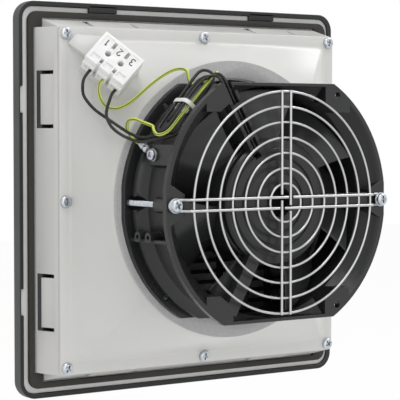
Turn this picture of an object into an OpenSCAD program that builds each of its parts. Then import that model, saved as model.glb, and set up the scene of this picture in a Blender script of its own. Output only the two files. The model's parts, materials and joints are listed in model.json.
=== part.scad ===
// Cabinet filter fan: louvred cover, filter, snap-in frame, hood and axial fan.
// Modules are drawn with x to the right, y up and z into the cabinet, from the panel's outer face.
// upright() then turns each part so that +Z is up and +Y points out of the cabinet.

/* [Front cover] */
// Width and height of the louvred cover
cover_w = 256; // [252:0.5:270]
// Depth of the cover from its rear rim to its face
cover_depth = 11.5; // [11:0.5:16]
// Distance of the cover's rear rim from the panel
cover_gap = 1; // [0.5:0.1:2]
// Corner radius of the cover
cover_corner_r = 11.5; // [8:0.5:16]
// Rounding of the cover's front edge
cover_edge_r = 5; // [2:0.5:7]
// Wall of the cover's rim
cover_wall = 2.9; // [2.4:0.1:3.4]
// Thickness of the cover's face
cover_face_t = 2.2; // [1.6:0.1:3]
// Plain border round the louvred field
louvre_border = 26; // [22:0.5:36]
// Collar round the louvred field
louvre_collar = 2; // [1.5:0.1:3]
// Distance from one louvre slat to the next
slat_pitch = 12; // [9:0.5:16]
// Thickness of a louvre slat
slat_t = 1.6; // [1.2:0.1:2.4]
// Drop of a louvre slat from its inner to its outer edge
slat_drop = 8; // [4:0.5:10]
// Ribs that carry the slats across the louvred field
louvre_ribs = 3; // [1:1:5]
// Width of each locating tab at the cover's top edge
tab_w = 21; // [14:1:28]
// Distance of the tabs, lugs and tongues from the middle
catch_pos = 65; // [50:1:75]
// Skin of the cover left outside the frame's side lugs
lug_skin = 0.9; // [0.6:0.1:1.2]

/* [Filter] */
// Gap between the filter mat and the rear of the box
mat_gap = 2.3; // [2:0.1:4]
// Thickness of the filter mat
mat_t = 11.7; // [8:0.1:11.7]
// Thickness of the grid behind the mat
grid_t = 4; // [3:0.5:5]
// Border of the grid
grid_border = 5; // [4:0.5:8]
// Distance from one grid bar to the next
grid_pitch = 7.5; // [6:0.5:12]
// Height of a grid bar
grid_bar = 2.2; // [1.6:0.1:3]
// Upright ribs of the grid
grid_ribs = 4; // [2:1:6]
// Width of an upright rib
grid_rib = 3; // [2:0.5:4]
// Wall of the grid's tray round the mat
tray_wall = 1; // [0.8:0.1:1.2]
// Corner radius of the mat
mat_corner_r = 4; // [2:0.5:6]

/* [Mounting frame] */
// Thickness of the flange
flange_t = 2.5; // [2:0.1:3.5]
// Width of the flange outside the box
flange_lip = 7.7; // [7:0.1:9]
// Taper of the box from the flange to its rear edge
box_taper = 6; // [5:0.1:6.5]
// Depth of the box behind the panel
box_depth = 18.8; // [18:0.1:24]
// Wall of the box
box_wall = 2.2; // [1.8:0.1:2.4]
// Width of a snap tongue
tongue_w = 32; // [24:1:36]
// Depth at which a tongue's free end lies
tongue_free = 4.9; // [4:0.1:6]
// Depth at which a tongue is rooted
tongue_root = 14.9; // [12:0.1:16]
// Slot at the free end of a tongue
tongue_end_slot = 3.2; // [2:0.1:3.5]
// Slot along each side of a tongue
tongue_side_slot = 2.4; // [1.6:0.1:3]
// Height of the barb on a tongue
tongue_barb = 0.9; // [0.5:0.1:1.4]
// Height of the frame's side lugs
lug_h = 16.6; // [10:0.2:22]
// Width of the inner ledge that carries the grid
ledge_w = 10; // [7:0.5:12]
// Thickness of the inner ledge
ledge_t = 2; // [1.5:0.1:3]

/* [Gasket] */
// Thickness of the foam gasket
gasket_t = 3; // [2:0.5:5]
// Distance of the gasket from the flange's edge
gasket_inset = 3.2; // [2.5:0.1:3.6]

/* [Hood] */
// Thickness of the hood's rim plate
rim_t = 2.5; // [2:0.1:4]
// Corner radius of the hood's rim plate
rim_corner_r = 3; // [1.5:0.5:5]
// Gap between the screw heads and the foot of the hood
hood_head_gap = 0.4; // [0.2:0.1:1.5]
// Width of the hood's round end outside the fan's flange
hood_margin = 3.9; // [2:0.1:6]
// Height of the hood above its rim plate
hood_h = 31.5; // [25:0.5:40]
// Shell of the hood
hood_wall = 2.5; // [2:0.1:3.5]
// Step from the duct out to the air opening in the hood's round end
inlet_step = 5; // [2:0.1:5.5]
// Radius of the bosses that take the hood's screws
hood_boss_r = 3.6; // [3:0.1:4]
// Thickness of the seal under the fan
seal_t = 1.5; // [1:0.1:3]

/* [Fan housing] */
// Depth of the fan
fan_depth = 51; // [48:0.5:60]
// Radius of the air duct
duct_r = 73; // [66:0.1:80]
// Wall of the duct at its waist
duct_wall = 3.5; // [3:0.1:4]
// Reach of the flanges outside the duct
flange_reach = 13.6; // [12:0.1:15]
// Amount cut from the flanges at the two rounded sides
side_cut = 0.6; // [0.2:0.1:1]
// Wall left outside the duct at the two flats
flat_wall = 2; // [1.8:0.1:3]
// Radius of the bellmouth at the inlet
bell_r = 6; // [5:0.1:7]
// Thickness of each flange
fan_flange_t = 4; // [3:0.1:5]
// Depth of the outlet flare
flare_depth = 12.8; // [10:0.1:14]
// Rim left outside the outlet flare
flare_rim = 2.6; // [2.2:0.1:5]
// Distance of the corner holes from the flanges' edge
hole_inset = 4.6; // [4.2:0.1:5.5]
// Angle of the corner holes from the horizontal
corner_hole_a = 55.5; // [54:0.1:57]
// Radius of the corner holes
flange_hole_r = 2.15; // [2.1:0.05:2.4]
// Angle of the fixing screws at the fan's inlet flange from the horizontal
inlet_screw_a = 48; // [46:0.5:50]
// Distance of the guard screws from the flanges' edge
guard_screw_inset = 5.6; // [5.5:0.1:6]
// Radius of the guard screw bosses
guard_boss_r = 5; // [4.5:0.1:5.2]
// Length of the guard screw bosses behind the outlet face
guard_boss_l = 15.3; // [10:0.1:20]
// Width of a motor strut
strut_w = 9; // [8:0.2:12]
// Depth of a motor strut
strut_t = 8; // [6:0.2:9]
// Angle of the strut that carries the leads
strut_a = 119; // [117:0.5:121]
// Width of the lead channel in that strut
channel_w = 5; // [4.6:0.1:5.6]
// Depth of the lead channel
channel_d = 4; // [3.8:0.1:4.2]
// Length of a clip across the lead channel
clip_l = 2.4; // [1.5:0.1:4]
// Height of a clip across the lead channel
clip_h = 1.2; // [0.8:0.1:1.4]
// Height of the cable eyelets below the fan's middle
eyelet_up = 20.6; // [18:0.1:24]
// Depth of the first eyelet from the fan's inlet face
eyelet_in = 13.7; // [12:0.1:16]
// Distance between the two eyelets
eyelet_pitch = 12; // [9:0.5:14]
// Outer radius of an eyelet
eyelet_r = 3.3; // [2.8:0.1:4]
// Radius of an eyelet's hole
eyelet_hole_r = 1.4; // [1:0.1:1.8]

/* [Motor] */
// Radius of the motor's base plate
hub_r = 40; // [39:0.5:42]
// Thickness of the motor's base plate
hub_t = 5.8; // [5:0.1:6.4]
// Radius of the bearing seats
bearing_r = 9.5; // [8:0.5:11]
// Width of a ball bearing
bearing_w = 6; // [5:0.5:7]
// Wall of the bearing tube
tube_wall = 2.5; // [2:0.1:3.5]
// Radius of the shaft
shaft_r = 3; // [2.5:0.5:4]
// Radius of the stator stack
stator_r = 30; // [26:0.5:31]
// Length of the stator stack
stator_l = 18; // [14:1:20]
// Height of the winding heads
winding_h = 5; // [3:0.5:5.5]
// Outer radius of the rotor cup
cup_r = 37.5; // [36.5:0.1:38]
// Wall of the rotor cup
cup_wall = 1.5; // [1.2:0.1:2]
// Depth of the rotor cup's floor from the fan's inlet face
cup_in = 5.9; // [5:0.1:7]
// Depth of the bearing shoulder from the fan's inlet face
shoulder_in = 21.7; // [20:0.1:23]
// Length of the bearing shoulder
shoulder_l = 8; // [6:0.5:10]
// Height of the preload spring
spring_h = 1; // [0.6:0.1:1.4]
// Thickness of the shaft clip
clip_t = 0.8; // [0.6:0.1:1]

/* [Impeller] */
// Number of blades
blades = 7; // [5:1:9]
// Gap between the blade tips and the duct
tip_gap = 1.5; // [1.2:0.1:3]
// Wall of the blade ring
ring_wall = 2.5; // [1.9:0.1:3]
// Depth of the blades' rear edge from the rotor cup's floor
blade_in = 3; // [2:0.1:4]
// Gap between the blade ring and the struts
blade_gap = 1.3; // [1:0.1:3]
// Length of the blade ring in front of the blades
ring_lip = 1.8; // [1:0.1:3]
// Turn of a blade from its front to its rear edge, in degrees
blade_sweep = 46; // [36:1:50]
// Thickness of a blade
blade_t = 1.8; // [1.4:0.1:2.6]
// Angle at which the first blade's front edge rests
blade_rest = 80; // [60:1:100]

/* [Finger guard] */
// Radius of the guard wire
wire_r = 1; // [0.8:0.05:1.2]
// Radius of the innermost ring
ring_first = 12; // [10:0.5:14]
// Distance of the outermost ring inside the duct's radius
guard_inset = 3.4; // [2:0.1:5]
// Number of rings
ring_count = 7; // [5:1:7]
// Half distance between the two wires of a spoke
spoke_half = 3.4; // [3.3:0.1:4]
// Height of the rings' middle above the fan's outlet face
guard_rise = 5.1; // [4.5:0.1:7]

/* [Screws] */
// Head radius of the hood screws
hood_head_r = 3.6; // [3.2:0.1:3.8]
// Head height of the hood screws
hood_head_h = 2.2; // [1.8:0.1:2.6]
// Shank radius of the hood screws
hood_shank_r = 1.5; // [1.2:0.1:1.6]
// Length of the hood screws below the head
hood_screw_l = 8; // [6:0.5:8]
// Head radius of the fan and guard screws
m4_head_r = 4; // [3.5:0.1:4.2]
// Head height of the fan and guard screws
m4_head_h = 2.6; // [2:0.1:3]
// Shank radius of the fan and guard screws
m4_shank_r = 1.95; // [1.8:0.05:2]
// Length of the guard screws below the head
guard_screw_l = 51; // [48:0.5:52]
// Length of the fan screws below the head
fan_screw_l = 11; // [8:0.5:14]
// Length of the earth screw below the head
earth_screw_l = 6; // [5:0.5:7]
// Thickness of the washers
washer_t = 0.8; // [0.6:0.1:1]
// Radius of the guard washers
washer_r = 4.6; // [4.3:0.1:5]

/* [Terminal block] */
// Distance from one pole to the next
pole_pitch = 10; // [9:0.5:10.5]
// Width of the block across its wire entries
term_w = 23.5; // [20:0.5:26]
// Height of the block
term_h = 15; // [13:0.5:18]
// Place of the block along the hood's hip, as a share of the hip
term_place = 0.5; // [0.45:0.01:0.55]
// Height of the seat that carries the block
term_seat_h = 3; // [2:0.1:4]
// Radius of a wire entry
entry_r = 1.2; // [1.1:0.05:1.3]
// Height of the wire entries above the seat
entry_h = 5; // [4.5:0.1:6]
// Shank radius of the block's fixing screws
term_screw_r = 1.1; // [0.9:0.1:1.2]
// Distance of the two wire entries from the middle of a pole
entry_shift = 1.9; // [1.8:0.1:2]
// Length of the step at the front of each pole
pole_step = 3; // [2:0.1:4]
// Height of the step at the front of each pole
pole_step_h = 9; // [8:0.1:10]

/* [Earth connection] */
// Height of the earth screw above the fan's middle
earth_up = 30.2; // [28:0.1:32]
// Depth of the earth screw from the fan's inlet face
earth_deep = 22.7; // [21:0.1:25]
// Distance of the earth lug's face inside the duct's waist
earth_sink = 0.5; // [0:0.1:1]
// Width of the earth lug
earth_lug_w = 13; // [11:0.5:15]
// Outer radius of the ring terminal
ring_term_r = 3.6; // [3.2:0.1:4.2]
// Thickness of the ring terminal
ring_term_t = 0.8; // [0.6:0.1:1.2]
// Length of the crimp barrel
crimp_l = 8; // [6:0.5:10]

/* [Leads] */
// Radius of a lead
lead_r = 1; // [0.9:0.05:1]
// Length of the folded hank, as a share of the duct's waist
hank_share = 0.64; // [0.6:0.01:0.7]
// Width of the hank
hank_w = 14; // [12:0.5:14]
// Thickness of the hank
hank_t = 10; // [8:0.5:10]
// Width of the cable tie
tie_w = 4.5; // [3:0.5:6]
// Thickness of the cable tie
tie_t = 0.9; // [0.7:0.1:1.2]

/* [Clearances] */
// Gap between the cover and the frame
cover_clear = 0.4; // [0.3:0.05:0.6]
// Gap between the gasket and the box
gasket_clear = 0.6; // [0.4:0.1:1]
// Gap between a screw and its pilot hole
pilot_clear = 0.1; // [0.05:0.01:0.2]
// Gap between a screw and its through hole
through_clear = 0.35; // [0.25:0.05:0.5]
// Radial gap of pressed pieces
press_clear = 0.02; // [0.01:0.01:0.04]
// Radial gap between the shaft and its bearings
shaft_clear = 0.05; // [0.03:0.01:0.08]
// Gap between the stator and the rotor
air_gap = 0.4; // [0.35:0.05:0.6]
// Gap between pieces that only lie side by side
slip = 0.3; // [0.2:0.05:0.4]

/* [Hidden] */
$fn = 64;
over = 1;
cover_grey = "#45464a";
pale_grey = "#c9cbc6";
fan_black = "#303133";
zinc = "#d5d7d8";
steel = "#b4b6b8";

// Depths along z, from the panel's outer face into the cabinet
cover_face_z = -(cover_gap + cover_depth);
louvre_w = cover_w - 2 * louvre_border;
flange_w = cover_w - 2 * (cover_wall + cover_clear);
flange_corner_r = cover_corner_r - cover_wall - cover_clear;
gasket_w = flange_w - 2 * gasket_inset;
box_front = flange_w / 2 - flange_lip;
box_rear = box_front - box_taper;
mat_w = 2 * (box_rear - box_wall - mat_gap);
grid_w = mat_w + 2 * (slip + tray_wall);
flange_z = -(gasket_t + flange_t);
louvre_back_z = flange_z + 1;
grid_z = box_depth - rim_t - ledge_t - grid_t - 1.3;
tray_z = grid_z - slip - mat_t + 0.5;
ledge_z = grid_z + grid_t;
rim_z = box_depth;
side_screw_pos = box_rear - hood_boss_r - 0.4;
corner_screw_pos = side_screw_pos - 0.5;
hood_base = side_screw_pos - hood_head_r - hood_head_gap;
rim_face_z = rim_z + rim_t;
seat_z = rim_face_z + hood_h;
fan_rear_z = seat_z + seal_t;
fan_face_z = fan_rear_z + fan_depth;
cup_z = fan_rear_z + cup_in;
blade_rear_z = cup_z + blade_in;
blade_depth = fan_depth - strut_t - blade_gap - ring_lip - cup_in - blade_in;
cup_depth = blade_in + blade_depth + ring_lip;
hub_z = fan_face_z - 1;
shoulder_z = fan_rear_z + shoulder_in;
stator_z = shoulder_z - bearing_w;
clip_z = shoulder_z + shoulder_l + spring_h + bearing_w + slip;
earth_in = fan_rear_z + earth_deep;
guard_z = fan_face_z + guard_rise;
spoke_z = guard_z + 1.75 * wire_r;
loop_z = fan_face_z + wire_r;
washer_z = loop_z + wire_r;

// Radii and widths of the fan, all from its duct
waist_r = duct_r + duct_wall;
fan_r = duct_r + flange_reach;
fan_w = 2 * (fan_r - side_cut);
fan_h = 2 * (duct_r + flat_wall);
flare_r = fan_r - flare_rim;
corner_hole_r = fan_r - hole_inset;
guard_screw_pos = fan_r - guard_screw_inset;
hood_top_r = fan_r + hood_margin;
inlet_r = duct_r + inlet_step;
ring_r = cup_r + ring_wall;
tip_r = duct_r - tip_gap;
guard_r = duct_r - guard_inset;
ring_step = (guard_r - ring_first) / (ring_count - 1);
earth_face = waist_r - earth_sink;
hank_l = hank_share * waist_r;
corner_x = corner_hole_r * cos(corner_hole_a);
corner_y = corner_hole_r * sin(corner_hole_a);
inlet_screw_x = corner_hole_r * cos(inlet_screw_a);
inlet_screw_y = corner_hole_r * sin(inlet_screw_a);

// The hip of the hood runs from its upper left corner down to its round end
hip_low = [-hood_base, hood_base, rim_face_z];
hip_high = [-hood_top_r * cos(45), hood_top_r * sin(45), seat_z];
hip_d = (hip_high - hip_low) / norm(hip_high - hip_low);
hip_t = [cos(45), sin(45), 0];
hip_n = cross(hip_d, hip_t);
hip_o = hip_low + term_place * (hip_high - hip_low);
term_l = 3 * pole_pitch;
term_front = -12;
term_screw_z = 4;
term_screw_l = 7.5;
term_head_h = 1.4;
clamp_w = 6.6;
clamp_l = 8;
clamp_h = 5.6;

// A route point may lie by the hood's hip, over the hood at an angle, over the fan's waist or along the strut
function by_hip(d, t, n) = hip_o + d * hip_d + t * hip_t + n * hip_n;
function hood_reach(a, s) = (1 - s) * hood_base / max(abs(cos(a)), abs(sin(a))) + s * hood_top_r;
function by_hood(a, s, out) = [(hood_reach(a, s) + out) * cos(a), (hood_reach(a, s) + out) * sin(a),
    rim_face_z + s * hood_h];
function by_fan(out, a, deep) = [(waist_r + out) * cos(a), (waist_r + out) * sin(a), fan_rear_z + deep];
function by_strut(out, deep) = [(hub_r + out) * cos(strut_a), (hub_r + out) * sin(strut_a),
    fan_face_z - deep];
function pole_start(pole) = [for (t = [-8, term_front, term_front - 3.4])
    by_hip(pole * pole_pitch + entry_shift, t, term_seat_h + entry_h)];
live_route = concat(pole_start(-1), [by_hip(-7.4, -19.6, 7.5), by_hip(-5, -23.4, 5.8),
    by_hood(147.2, 0.556, 19.7), by_hood(148.3, 0.6, 16.5), by_hood(149.3, 0.67, 13.8),
    by_hood(149.8, 0.752, 11.8), by_hood(150.3, 0.848, 10.2), by_fan(22.6, 151.4, -0.3),
    by_fan(17.6, 152.7, 6.7), by_fan(13.4, 152.9, 13.7), by_fan(10.7, 151.5, 20.7),
    by_fan(9.1, 149.2, 27.3)]);
neutral_route = concat(pole_start(1), [by_hip(13.2, -19.5, 7.9), by_hip(15.2, -24.6, 7.3),
    by_hood(150.4, 0.962, 17.7), by_fan(28.3, 152.8, -0.3), by_fan(23.5, 154.2, 3.7),
    by_fan(18.7, 154.9, 8.7), by_fan(14.2, 155, 14.7), by_fan(11.2, 153.7, 21.3), by_fan(8.2, 149.4, 30.5)]);
earth_route = concat(pole_start(0), [by_hip(4.6, -19.2, 6.4), by_hip(9.4, -21.9, 3.8),
    by_hood(146.5, 0.784, 10.3), by_hood(144.9, 0.911, 9.6), by_fan(24.2, 141.3, -0.8),
    by_fan(23.5, 136.9, 2.1), by_fan(23, 131.5, 4.2), by_fan(22.6, 126.5, 6.2), by_fan(22, 122.6, 8.7),
    by_fan(20.7, 120.3, 13.2), by_fan(18.8, 120.7, 18.7), by_fan(16.7, 122.5, 23.7),
    by_fan(13.9, 125.1, 27.3)]);
tail_route = [by_fan(11, 147, 26.1), by_fan(15, 146.6, 20.7), by_fan(18.4, 146.3, 15.1),
    by_fan(20.9, 146.7, 9.1), by_fan(21.2, 148.1, 4.1), by_fan(19.2, 150.2, 2.1), by_fan(15.7, 152, 2.1),
    by_fan(13.2, 153.7, 5.1), by_fan(11.3, 154.5, 8.5), by_fan(9.7, 154.9, 11.3)];
motor_route = [by_fan(11.1, 121.7, 32.7), by_fan(13.7, 120.4, 37.1), by_fan(14.8, 119.5, 41.7),
    by_fan(13.8, 119.2, 46.1), by_fan(9.8, 119.1, 48.5), by_strut(20, 2.6), by_strut(-1.8, 2.6),
    by_strut(-4.3, 3.3), by_strut(-5.6, 6.3)];
motor_lead_shift = [1.02, 0.57, 0];
hank_mid = by_fan(7.7, 134, 30.7);
hank_a = 49.4;

module upright() {
    rotate([90, 0, 0]) children();
}

module mirrored_x() {
    children();
    mirror([1, 0, 0]) children();
}

module four_sides() {
    for (a = [0:90:270]) rotate([0, 0, a]) children();
}

module rounded_square(w, h, r) {
    square([w - 2 * r, h], center = true);
    square([w, h - 2 * r], center = true);
    for (x = [-1, 1], y = [-1, 1]) translate([x * (w / 2 - r), y * (h / 2 - r)]) circle(r);
}

module slab(z0, z1) {
    translate([0, 0, z0]) linear_extrude(z1 - z0) children();
}

module ring(r_out, r_in, z0, z1) {
    difference() {
        translate([0, 0, z0]) cylinder(r = r_out, h = z1 - z0);
        translate([0, 0, z0 - over]) cylinder(r = r_in, h = z1 - z0 + 2 * over);
    }
}

module rod(a, b, r) {
    v = b - a;
    translate(a) rotate([0, acos(v.z / norm(v)), atan2(v.y, v.x)]) cylinder(r = r, h = norm(v));
}

// A closed polyhedron over rings of points, with strips of faces at its two ends or joined to itself
function strip(at, n, turned) = [for (i = [0:n / 2 - 2])
    let (a = at + i, b = at + i + 1, c = at + n - 2 - i, d = at + n - 1 - i)
    each turned ? [[a, c, b], [a, d, c]] : [[a, b, c], [a, c, d]]];

module skin(rings, ends) {
    n = len(rings[0]);
    m = len(rings);
    sides = [for (i = [0:m - (ends ? 2 : 1)], j = [0:n - 1])
        let (k = (j + 1) % n, next = (i + 1) % m * n)
        let (a = i * n + j, b = i * n + k, c = next + k, d = next + j)
        each [[a, c, b], [a, d, c]]];
    caps = ends ? concat(strip(0, n, false), strip((m - 1) * n, n, true)) : [];
    polyhedron([for (r = rings) each r], concat(sides, caps), convexity = 10);
}

// Rings of eight points along a lead's route
function unit(v) = v / norm(v);
function heading(p, i) = unit(p[min(i + 1, len(p) - 1)] - p[max(i - 1, 0)]);
function lead_ring(at, way, r) = let (u = unit(cross(way, [0.2, 0.3, 1])), v = cross(way, u))
    [for (a = [0:45:315]) at + r * (cos(a) * u + sin(a) * v)];

module lead(route) {
    skin([for (i = [0:len(route) - 1]) lead_ring(route[i], heading(route, i), lead_r)], true);
}

module pan_screw(head_r, head_h, shank_r, length) {
    crown = head_h * 0.45;
    rotate_extrude() polygon([[0, 0], [head_r, 0], [head_r, head_h - crown],
        [head_r * 0.86, head_h - crown * 0.35], [head_r * 0.6, head_h], [0, head_h]]);
    translate([0, 0, -length]) cylinder(r = shank_r, h = length + 0.01);
}

// Front cover with its louvres
function square_ring(half, r, z) = [for (c = [0:3], k = [0:6])
    let (a = 90 * c + 15 * k, s = half - r)
    [r * cos(a) + s * (c == 0 || c == 3 ? 1 : -1), r * sin(a) + s * (c < 2 ? 1 : -1), z]];

module cover_shell() {
    half = cover_w / 2;
    edge_z = cover_face_z + cover_edge_r;
    turns = [for (a = [90:-15:0]) square_ring(half - cover_edge_r * (1 - cos(a)),
        cover_corner_r - cover_edge_r * (1 - cos(a)), edge_z - cover_edge_r * sin(a))];
    difference() {
        skin(concat(turns, [square_ring(half, cover_corner_r, -cover_gap)]), true);
        slab(cover_face_z + cover_face_t, over) rounded_square(cover_w - 2 * cover_wall,
            cover_w - 2 * cover_wall, cover_corner_r - cover_wall);
        slab(cover_face_z - over, over) square(louvre_w, center = true);
        for (s = [-1, 1], y = [-catch_pos, catch_pos])
            translate([s * (half - lug_skin - cover_wall) - cover_wall, y - lug_h / 2 - cover_clear,
                flange_z - cover_clear]) cube([2 * cover_wall, lug_h + 2 * cover_clear, -flange_z]);
    }
}

module louvres() {
    collar = louvre_collar;
    slat_set = 0.4;
    front = cover_face_z + slat_set;
    rib_t = collar;
    count = floor((louvre_w - slat_drop) / slat_pitch);
    slab(cover_face_z + cover_face_t / 2, louvre_back_z) difference() {
        square(louvre_w + 2 * collar, center = true);
        square(louvre_w, center = true);
    }
    rise = louvre_w - slat_drop - slat_t - 2 * collar;
    slats = [for (i = [0:count]) collar - louvre_w / 2 + rise * i / count];
    rotate([90, 0, 90]) translate([0, 0, -louvre_w / 2 - collar / 2]) linear_extrude(louvre_w + collar)
        for (y = slats) polygon([[y, front], [y + slat_t, front], [y + slat_drop + slat_t, louvre_back_z],
            [y + slat_drop, louvre_back_z]]);
    slab(front + rib_t, louvre_back_z) for (i = [1:louvre_ribs])
        translate([louvre_w * (i / (louvre_ribs + 1) - 0.5), 0])
            square([rib_t, louvre_w + rib_t], center = true);
}

module front_cover() color(cover_grey) upright() {
    cover_shell();
    louvres();
    inner = cover_w / 2 - cover_wall;
    tab_h = inner - (gasket_w / 2 + cover_clear);
    for (x = [-catch_pos, catch_pos])
        translate([x - tab_w / 2, gasket_w / 2 + cover_clear, flange_z])
            cube([tab_w, tab_h + cover_wall / 2, -cover_gap - flange_z]);
}

// Filter mat and the grid behind it
module filter_mat() color("#e4e4de") upright()
    slab(grid_z - slip - mat_t, grid_z - slip) rounded_square(mat_w, mat_w, mat_corner_r);

module filter_grid() color(cover_grey) upright() {
    field = mat_w - 2 * grid_border;
    bars = floor(field / grid_pitch);
    outer_r = mat_corner_r + slip + tray_wall;
    slab(grid_z, ledge_z) {
        difference() {
            rounded_square(grid_w, grid_w, outer_r);
            square(field, center = true);
        }
        for (i = [1:bars]) translate([0, field * (i / (bars + 1) - 0.5)])
            square([field + 1, grid_bar], center = true);
        for (i = [1:grid_ribs]) translate([field * (i / (grid_ribs + 1) - 0.5), 0])
            square([grid_rib, field + 1], center = true);
    }
    slab(tray_z, grid_z + grid_t / 2) difference() {
        rounded_square(grid_w, grid_w, outer_r);
        rounded_square(mat_w + 2 * slip, mat_w + 2 * slip, mat_corner_r + slip);
    }
}

// Snap-in frame
function box_half(z) = box_front - (z + gasket_t) * (box_front - box_rear) / (box_depth + gasket_t);

module tapered_box(inset, z0, z1) {
    side = box_rear - inset;
    for (turn = [0, 90]) rotate([90, 0, turn]) translate([0, 0, -side]) linear_extrude(2 * side)
        polygon([[-box_half(z0) + inset, z0], [box_half(z0) - inset, z0], [box_half(z1) - inset, z1],
            [-box_half(z1) + inset, z1]]);
}

module tongue_slots() {
    start = tongue_free - tongue_end_slot;
    full = tongue_w + 2 * tongue_side_slot;
    reach = 20;
    four_sides() for (x = [-catch_pos, catch_pos]) translate([x, box_rear - reach / 2, 0]) {
        translate([-full / 2, 0, start]) cube([full, reach, tongue_end_slot]);
        for (s = [-1, 1]) translate([s * (tongue_w + tongue_side_slot) / 2 - tongue_side_slot / 2, 0, start])
            cube([tongue_side_slot, reach, tongue_root - start]);
    }
}

module tongue_barbs() {
    low = box_half(tongue_free) - box_wall / 2;
    tip = box_half(tongue_free) + tongue_barb;
    foot = (tongue_free + tongue_root) / 2;
    four_sides() for (x = [-catch_pos, catch_pos]) translate([x - tongue_w / 2, 0, 0]) rotate([90, 0, 90])
        linear_extrude(tongue_w) polygon([[low, tongue_free], [tip, tongue_free],
            [box_half(foot), foot], [box_half(foot) - box_wall / 2, foot]]);
}

function hood_screw_places() = concat([for (x = [-1, 1], y = [-1, 1]) corner_screw_pos * [x, y]],
    [for (s = [-1, 1]) each [[s * side_screw_pos, 0], [0, s * side_screw_pos]]]);

module frame_flange() {
    notch_y = gasket_w / 2;
    slab(flange_z, -gasket_t) difference() {
        union() {
            rounded_square(flange_w, flange_w, flange_corner_r);
            for (s = [-1, 1], y = [-catch_pos, catch_pos])
                translate([s * (cover_w / 2 - lug_skin - cover_clear - cover_wall), y])
                    square([2 * cover_wall, lug_h], center = true);
        }
        for (x = [-catch_pos, catch_pos]) translate([x - tab_w / 2 - cover_clear, notch_y])
            square([tab_w + 2 * cover_clear, cover_w]);
    }
}

module mounting_frame() color(pale_grey) upright() difference() {
    union() {
        difference() {
            union() {
                frame_flange();
                tapered_box(0, -gasket_t - 1, box_depth);
            }
            tapered_box(box_wall, flange_z - over, box_depth + over);
            tongue_slots();
        }
        tongue_barbs();
        slab(ledge_z, ledge_z + ledge_t) difference() {
            square(2 * box_rear - box_wall, center = true);
            square(2 * (box_rear - box_wall - ledge_w), center = true);
        }
        for (p = hood_screw_places()) translate([p.x, p.y, ledge_z])
            cylinder(r = hood_boss_r, h = box_depth - ledge_z);
    }
    for (p = hood_screw_places()) translate([p.x, p.y, ledge_z - over])
        cylinder(r = hood_shank_r + pilot_clear, h = box_depth - ledge_z + 2 * over);
}

module panel_gasket() color("#42403e") upright() slab(-gasket_t, 0) difference() {
    rounded_square(gasket_w, gasket_w, flange_corner_r - gasket_inset / 2);
    long = 2 * (box_front + gasket_clear);
    short = 2 * (box_rear + gasket_clear);
    square([long, short], center = true);
    square([short, long], center = true);
}

// Hood from the square box to the round fan
function hood_ring(half, z) = [for (a = [0:5:355])
    half / max(abs(cos(a)), abs(sin(a))) * [cos(a), sin(a), 0] + [0, 0, z]];
function circle_ring(r, z) = [for (a = [0:5:355]) [r * cos(a), r * sin(a), z]];

module on_hip() {
    multmatrix([for (i = [0:2]) [hip_d[i], hip_t[i], hip_n[i], hip_o[i]]]) children();
}

module hood_shell() {
    base_z = rim_z + rim_t / 2;
    slope = (hood_base - hood_top_r) / hood_h;
    low_half = hood_base + slope * (rim_face_z - base_z);
    inner_r = hood_top_r - hood_wall + slope * hood_wall;
    skin([hood_ring(low_half, base_z), circle_ring(hood_top_r, seat_z), circle_ring(inlet_r, seat_z),
        circle_ring(inlet_r, seat_z - hood_wall), circle_ring(inner_r, seat_z - hood_wall),
        hood_ring(low_half - hood_wall, base_z)], false);
}

module fan_hole_places() {
    for (x = [-1, 1], y = [-1, 1]) translate([x * inlet_screw_x, y * inlet_screw_y, 0]) children();
}

module fan_hood() color(pale_grey) upright() difference() {
    seat_root = 6;
    pilot_root = 4;
    union() {
        slab(rim_z, rim_face_z) difference() {
            rounded_square(2 * box_rear, 2 * box_rear, rim_corner_r);
            square(2 * (hood_base - hood_wall + 0.6), center = true);
        }
        hood_shell();
        on_hip() translate([-term_l / 2, term_front, -seat_root])
            cube([term_l, term_w, seat_root + term_seat_h]);
    }
    for (p = hood_screw_places()) translate([p.x, p.y, rim_z - over])
        cylinder(r = hood_shank_r + through_clear, h = rim_t + 2 * over);
    fan_hole_places() translate([0, 0, seat_z - hood_wall - over])
        cylinder(r = m4_shank_r + through_clear, h = hood_wall + 2 * over);
    on_hip() for (s = [-1, 1]) translate([s * pole_pitch / 2, 0, -pilot_root])
        cylinder(r = term_screw_r + pilot_clear, h = pilot_root + term_seat_h + over);
}

module hood_screws() color(zinc) upright() for (p = hood_screw_places())
    translate([p.x, p.y, rim_face_z]) pan_screw(hood_head_r, hood_head_h, hood_shank_r, hood_screw_l);

module fan_seal() color("#a9aaa8") upright() difference() {
    ring(hood_top_r, duct_r + bell_r, seat_z, fan_rear_z);
    fan_hole_places() translate([0, 0, seat_z - over])
        cylinder(r = m4_shank_r + through_clear, h = seal_t + 2 * over);
}

module fan_screws() color(zinc) upright() fan_hole_places() translate([0, 0, seat_z - hood_wall])
    mirror([0, 0, 1]) pan_screw(m4_head_r, m4_head_h, m4_shank_r, fan_screw_l);

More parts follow.
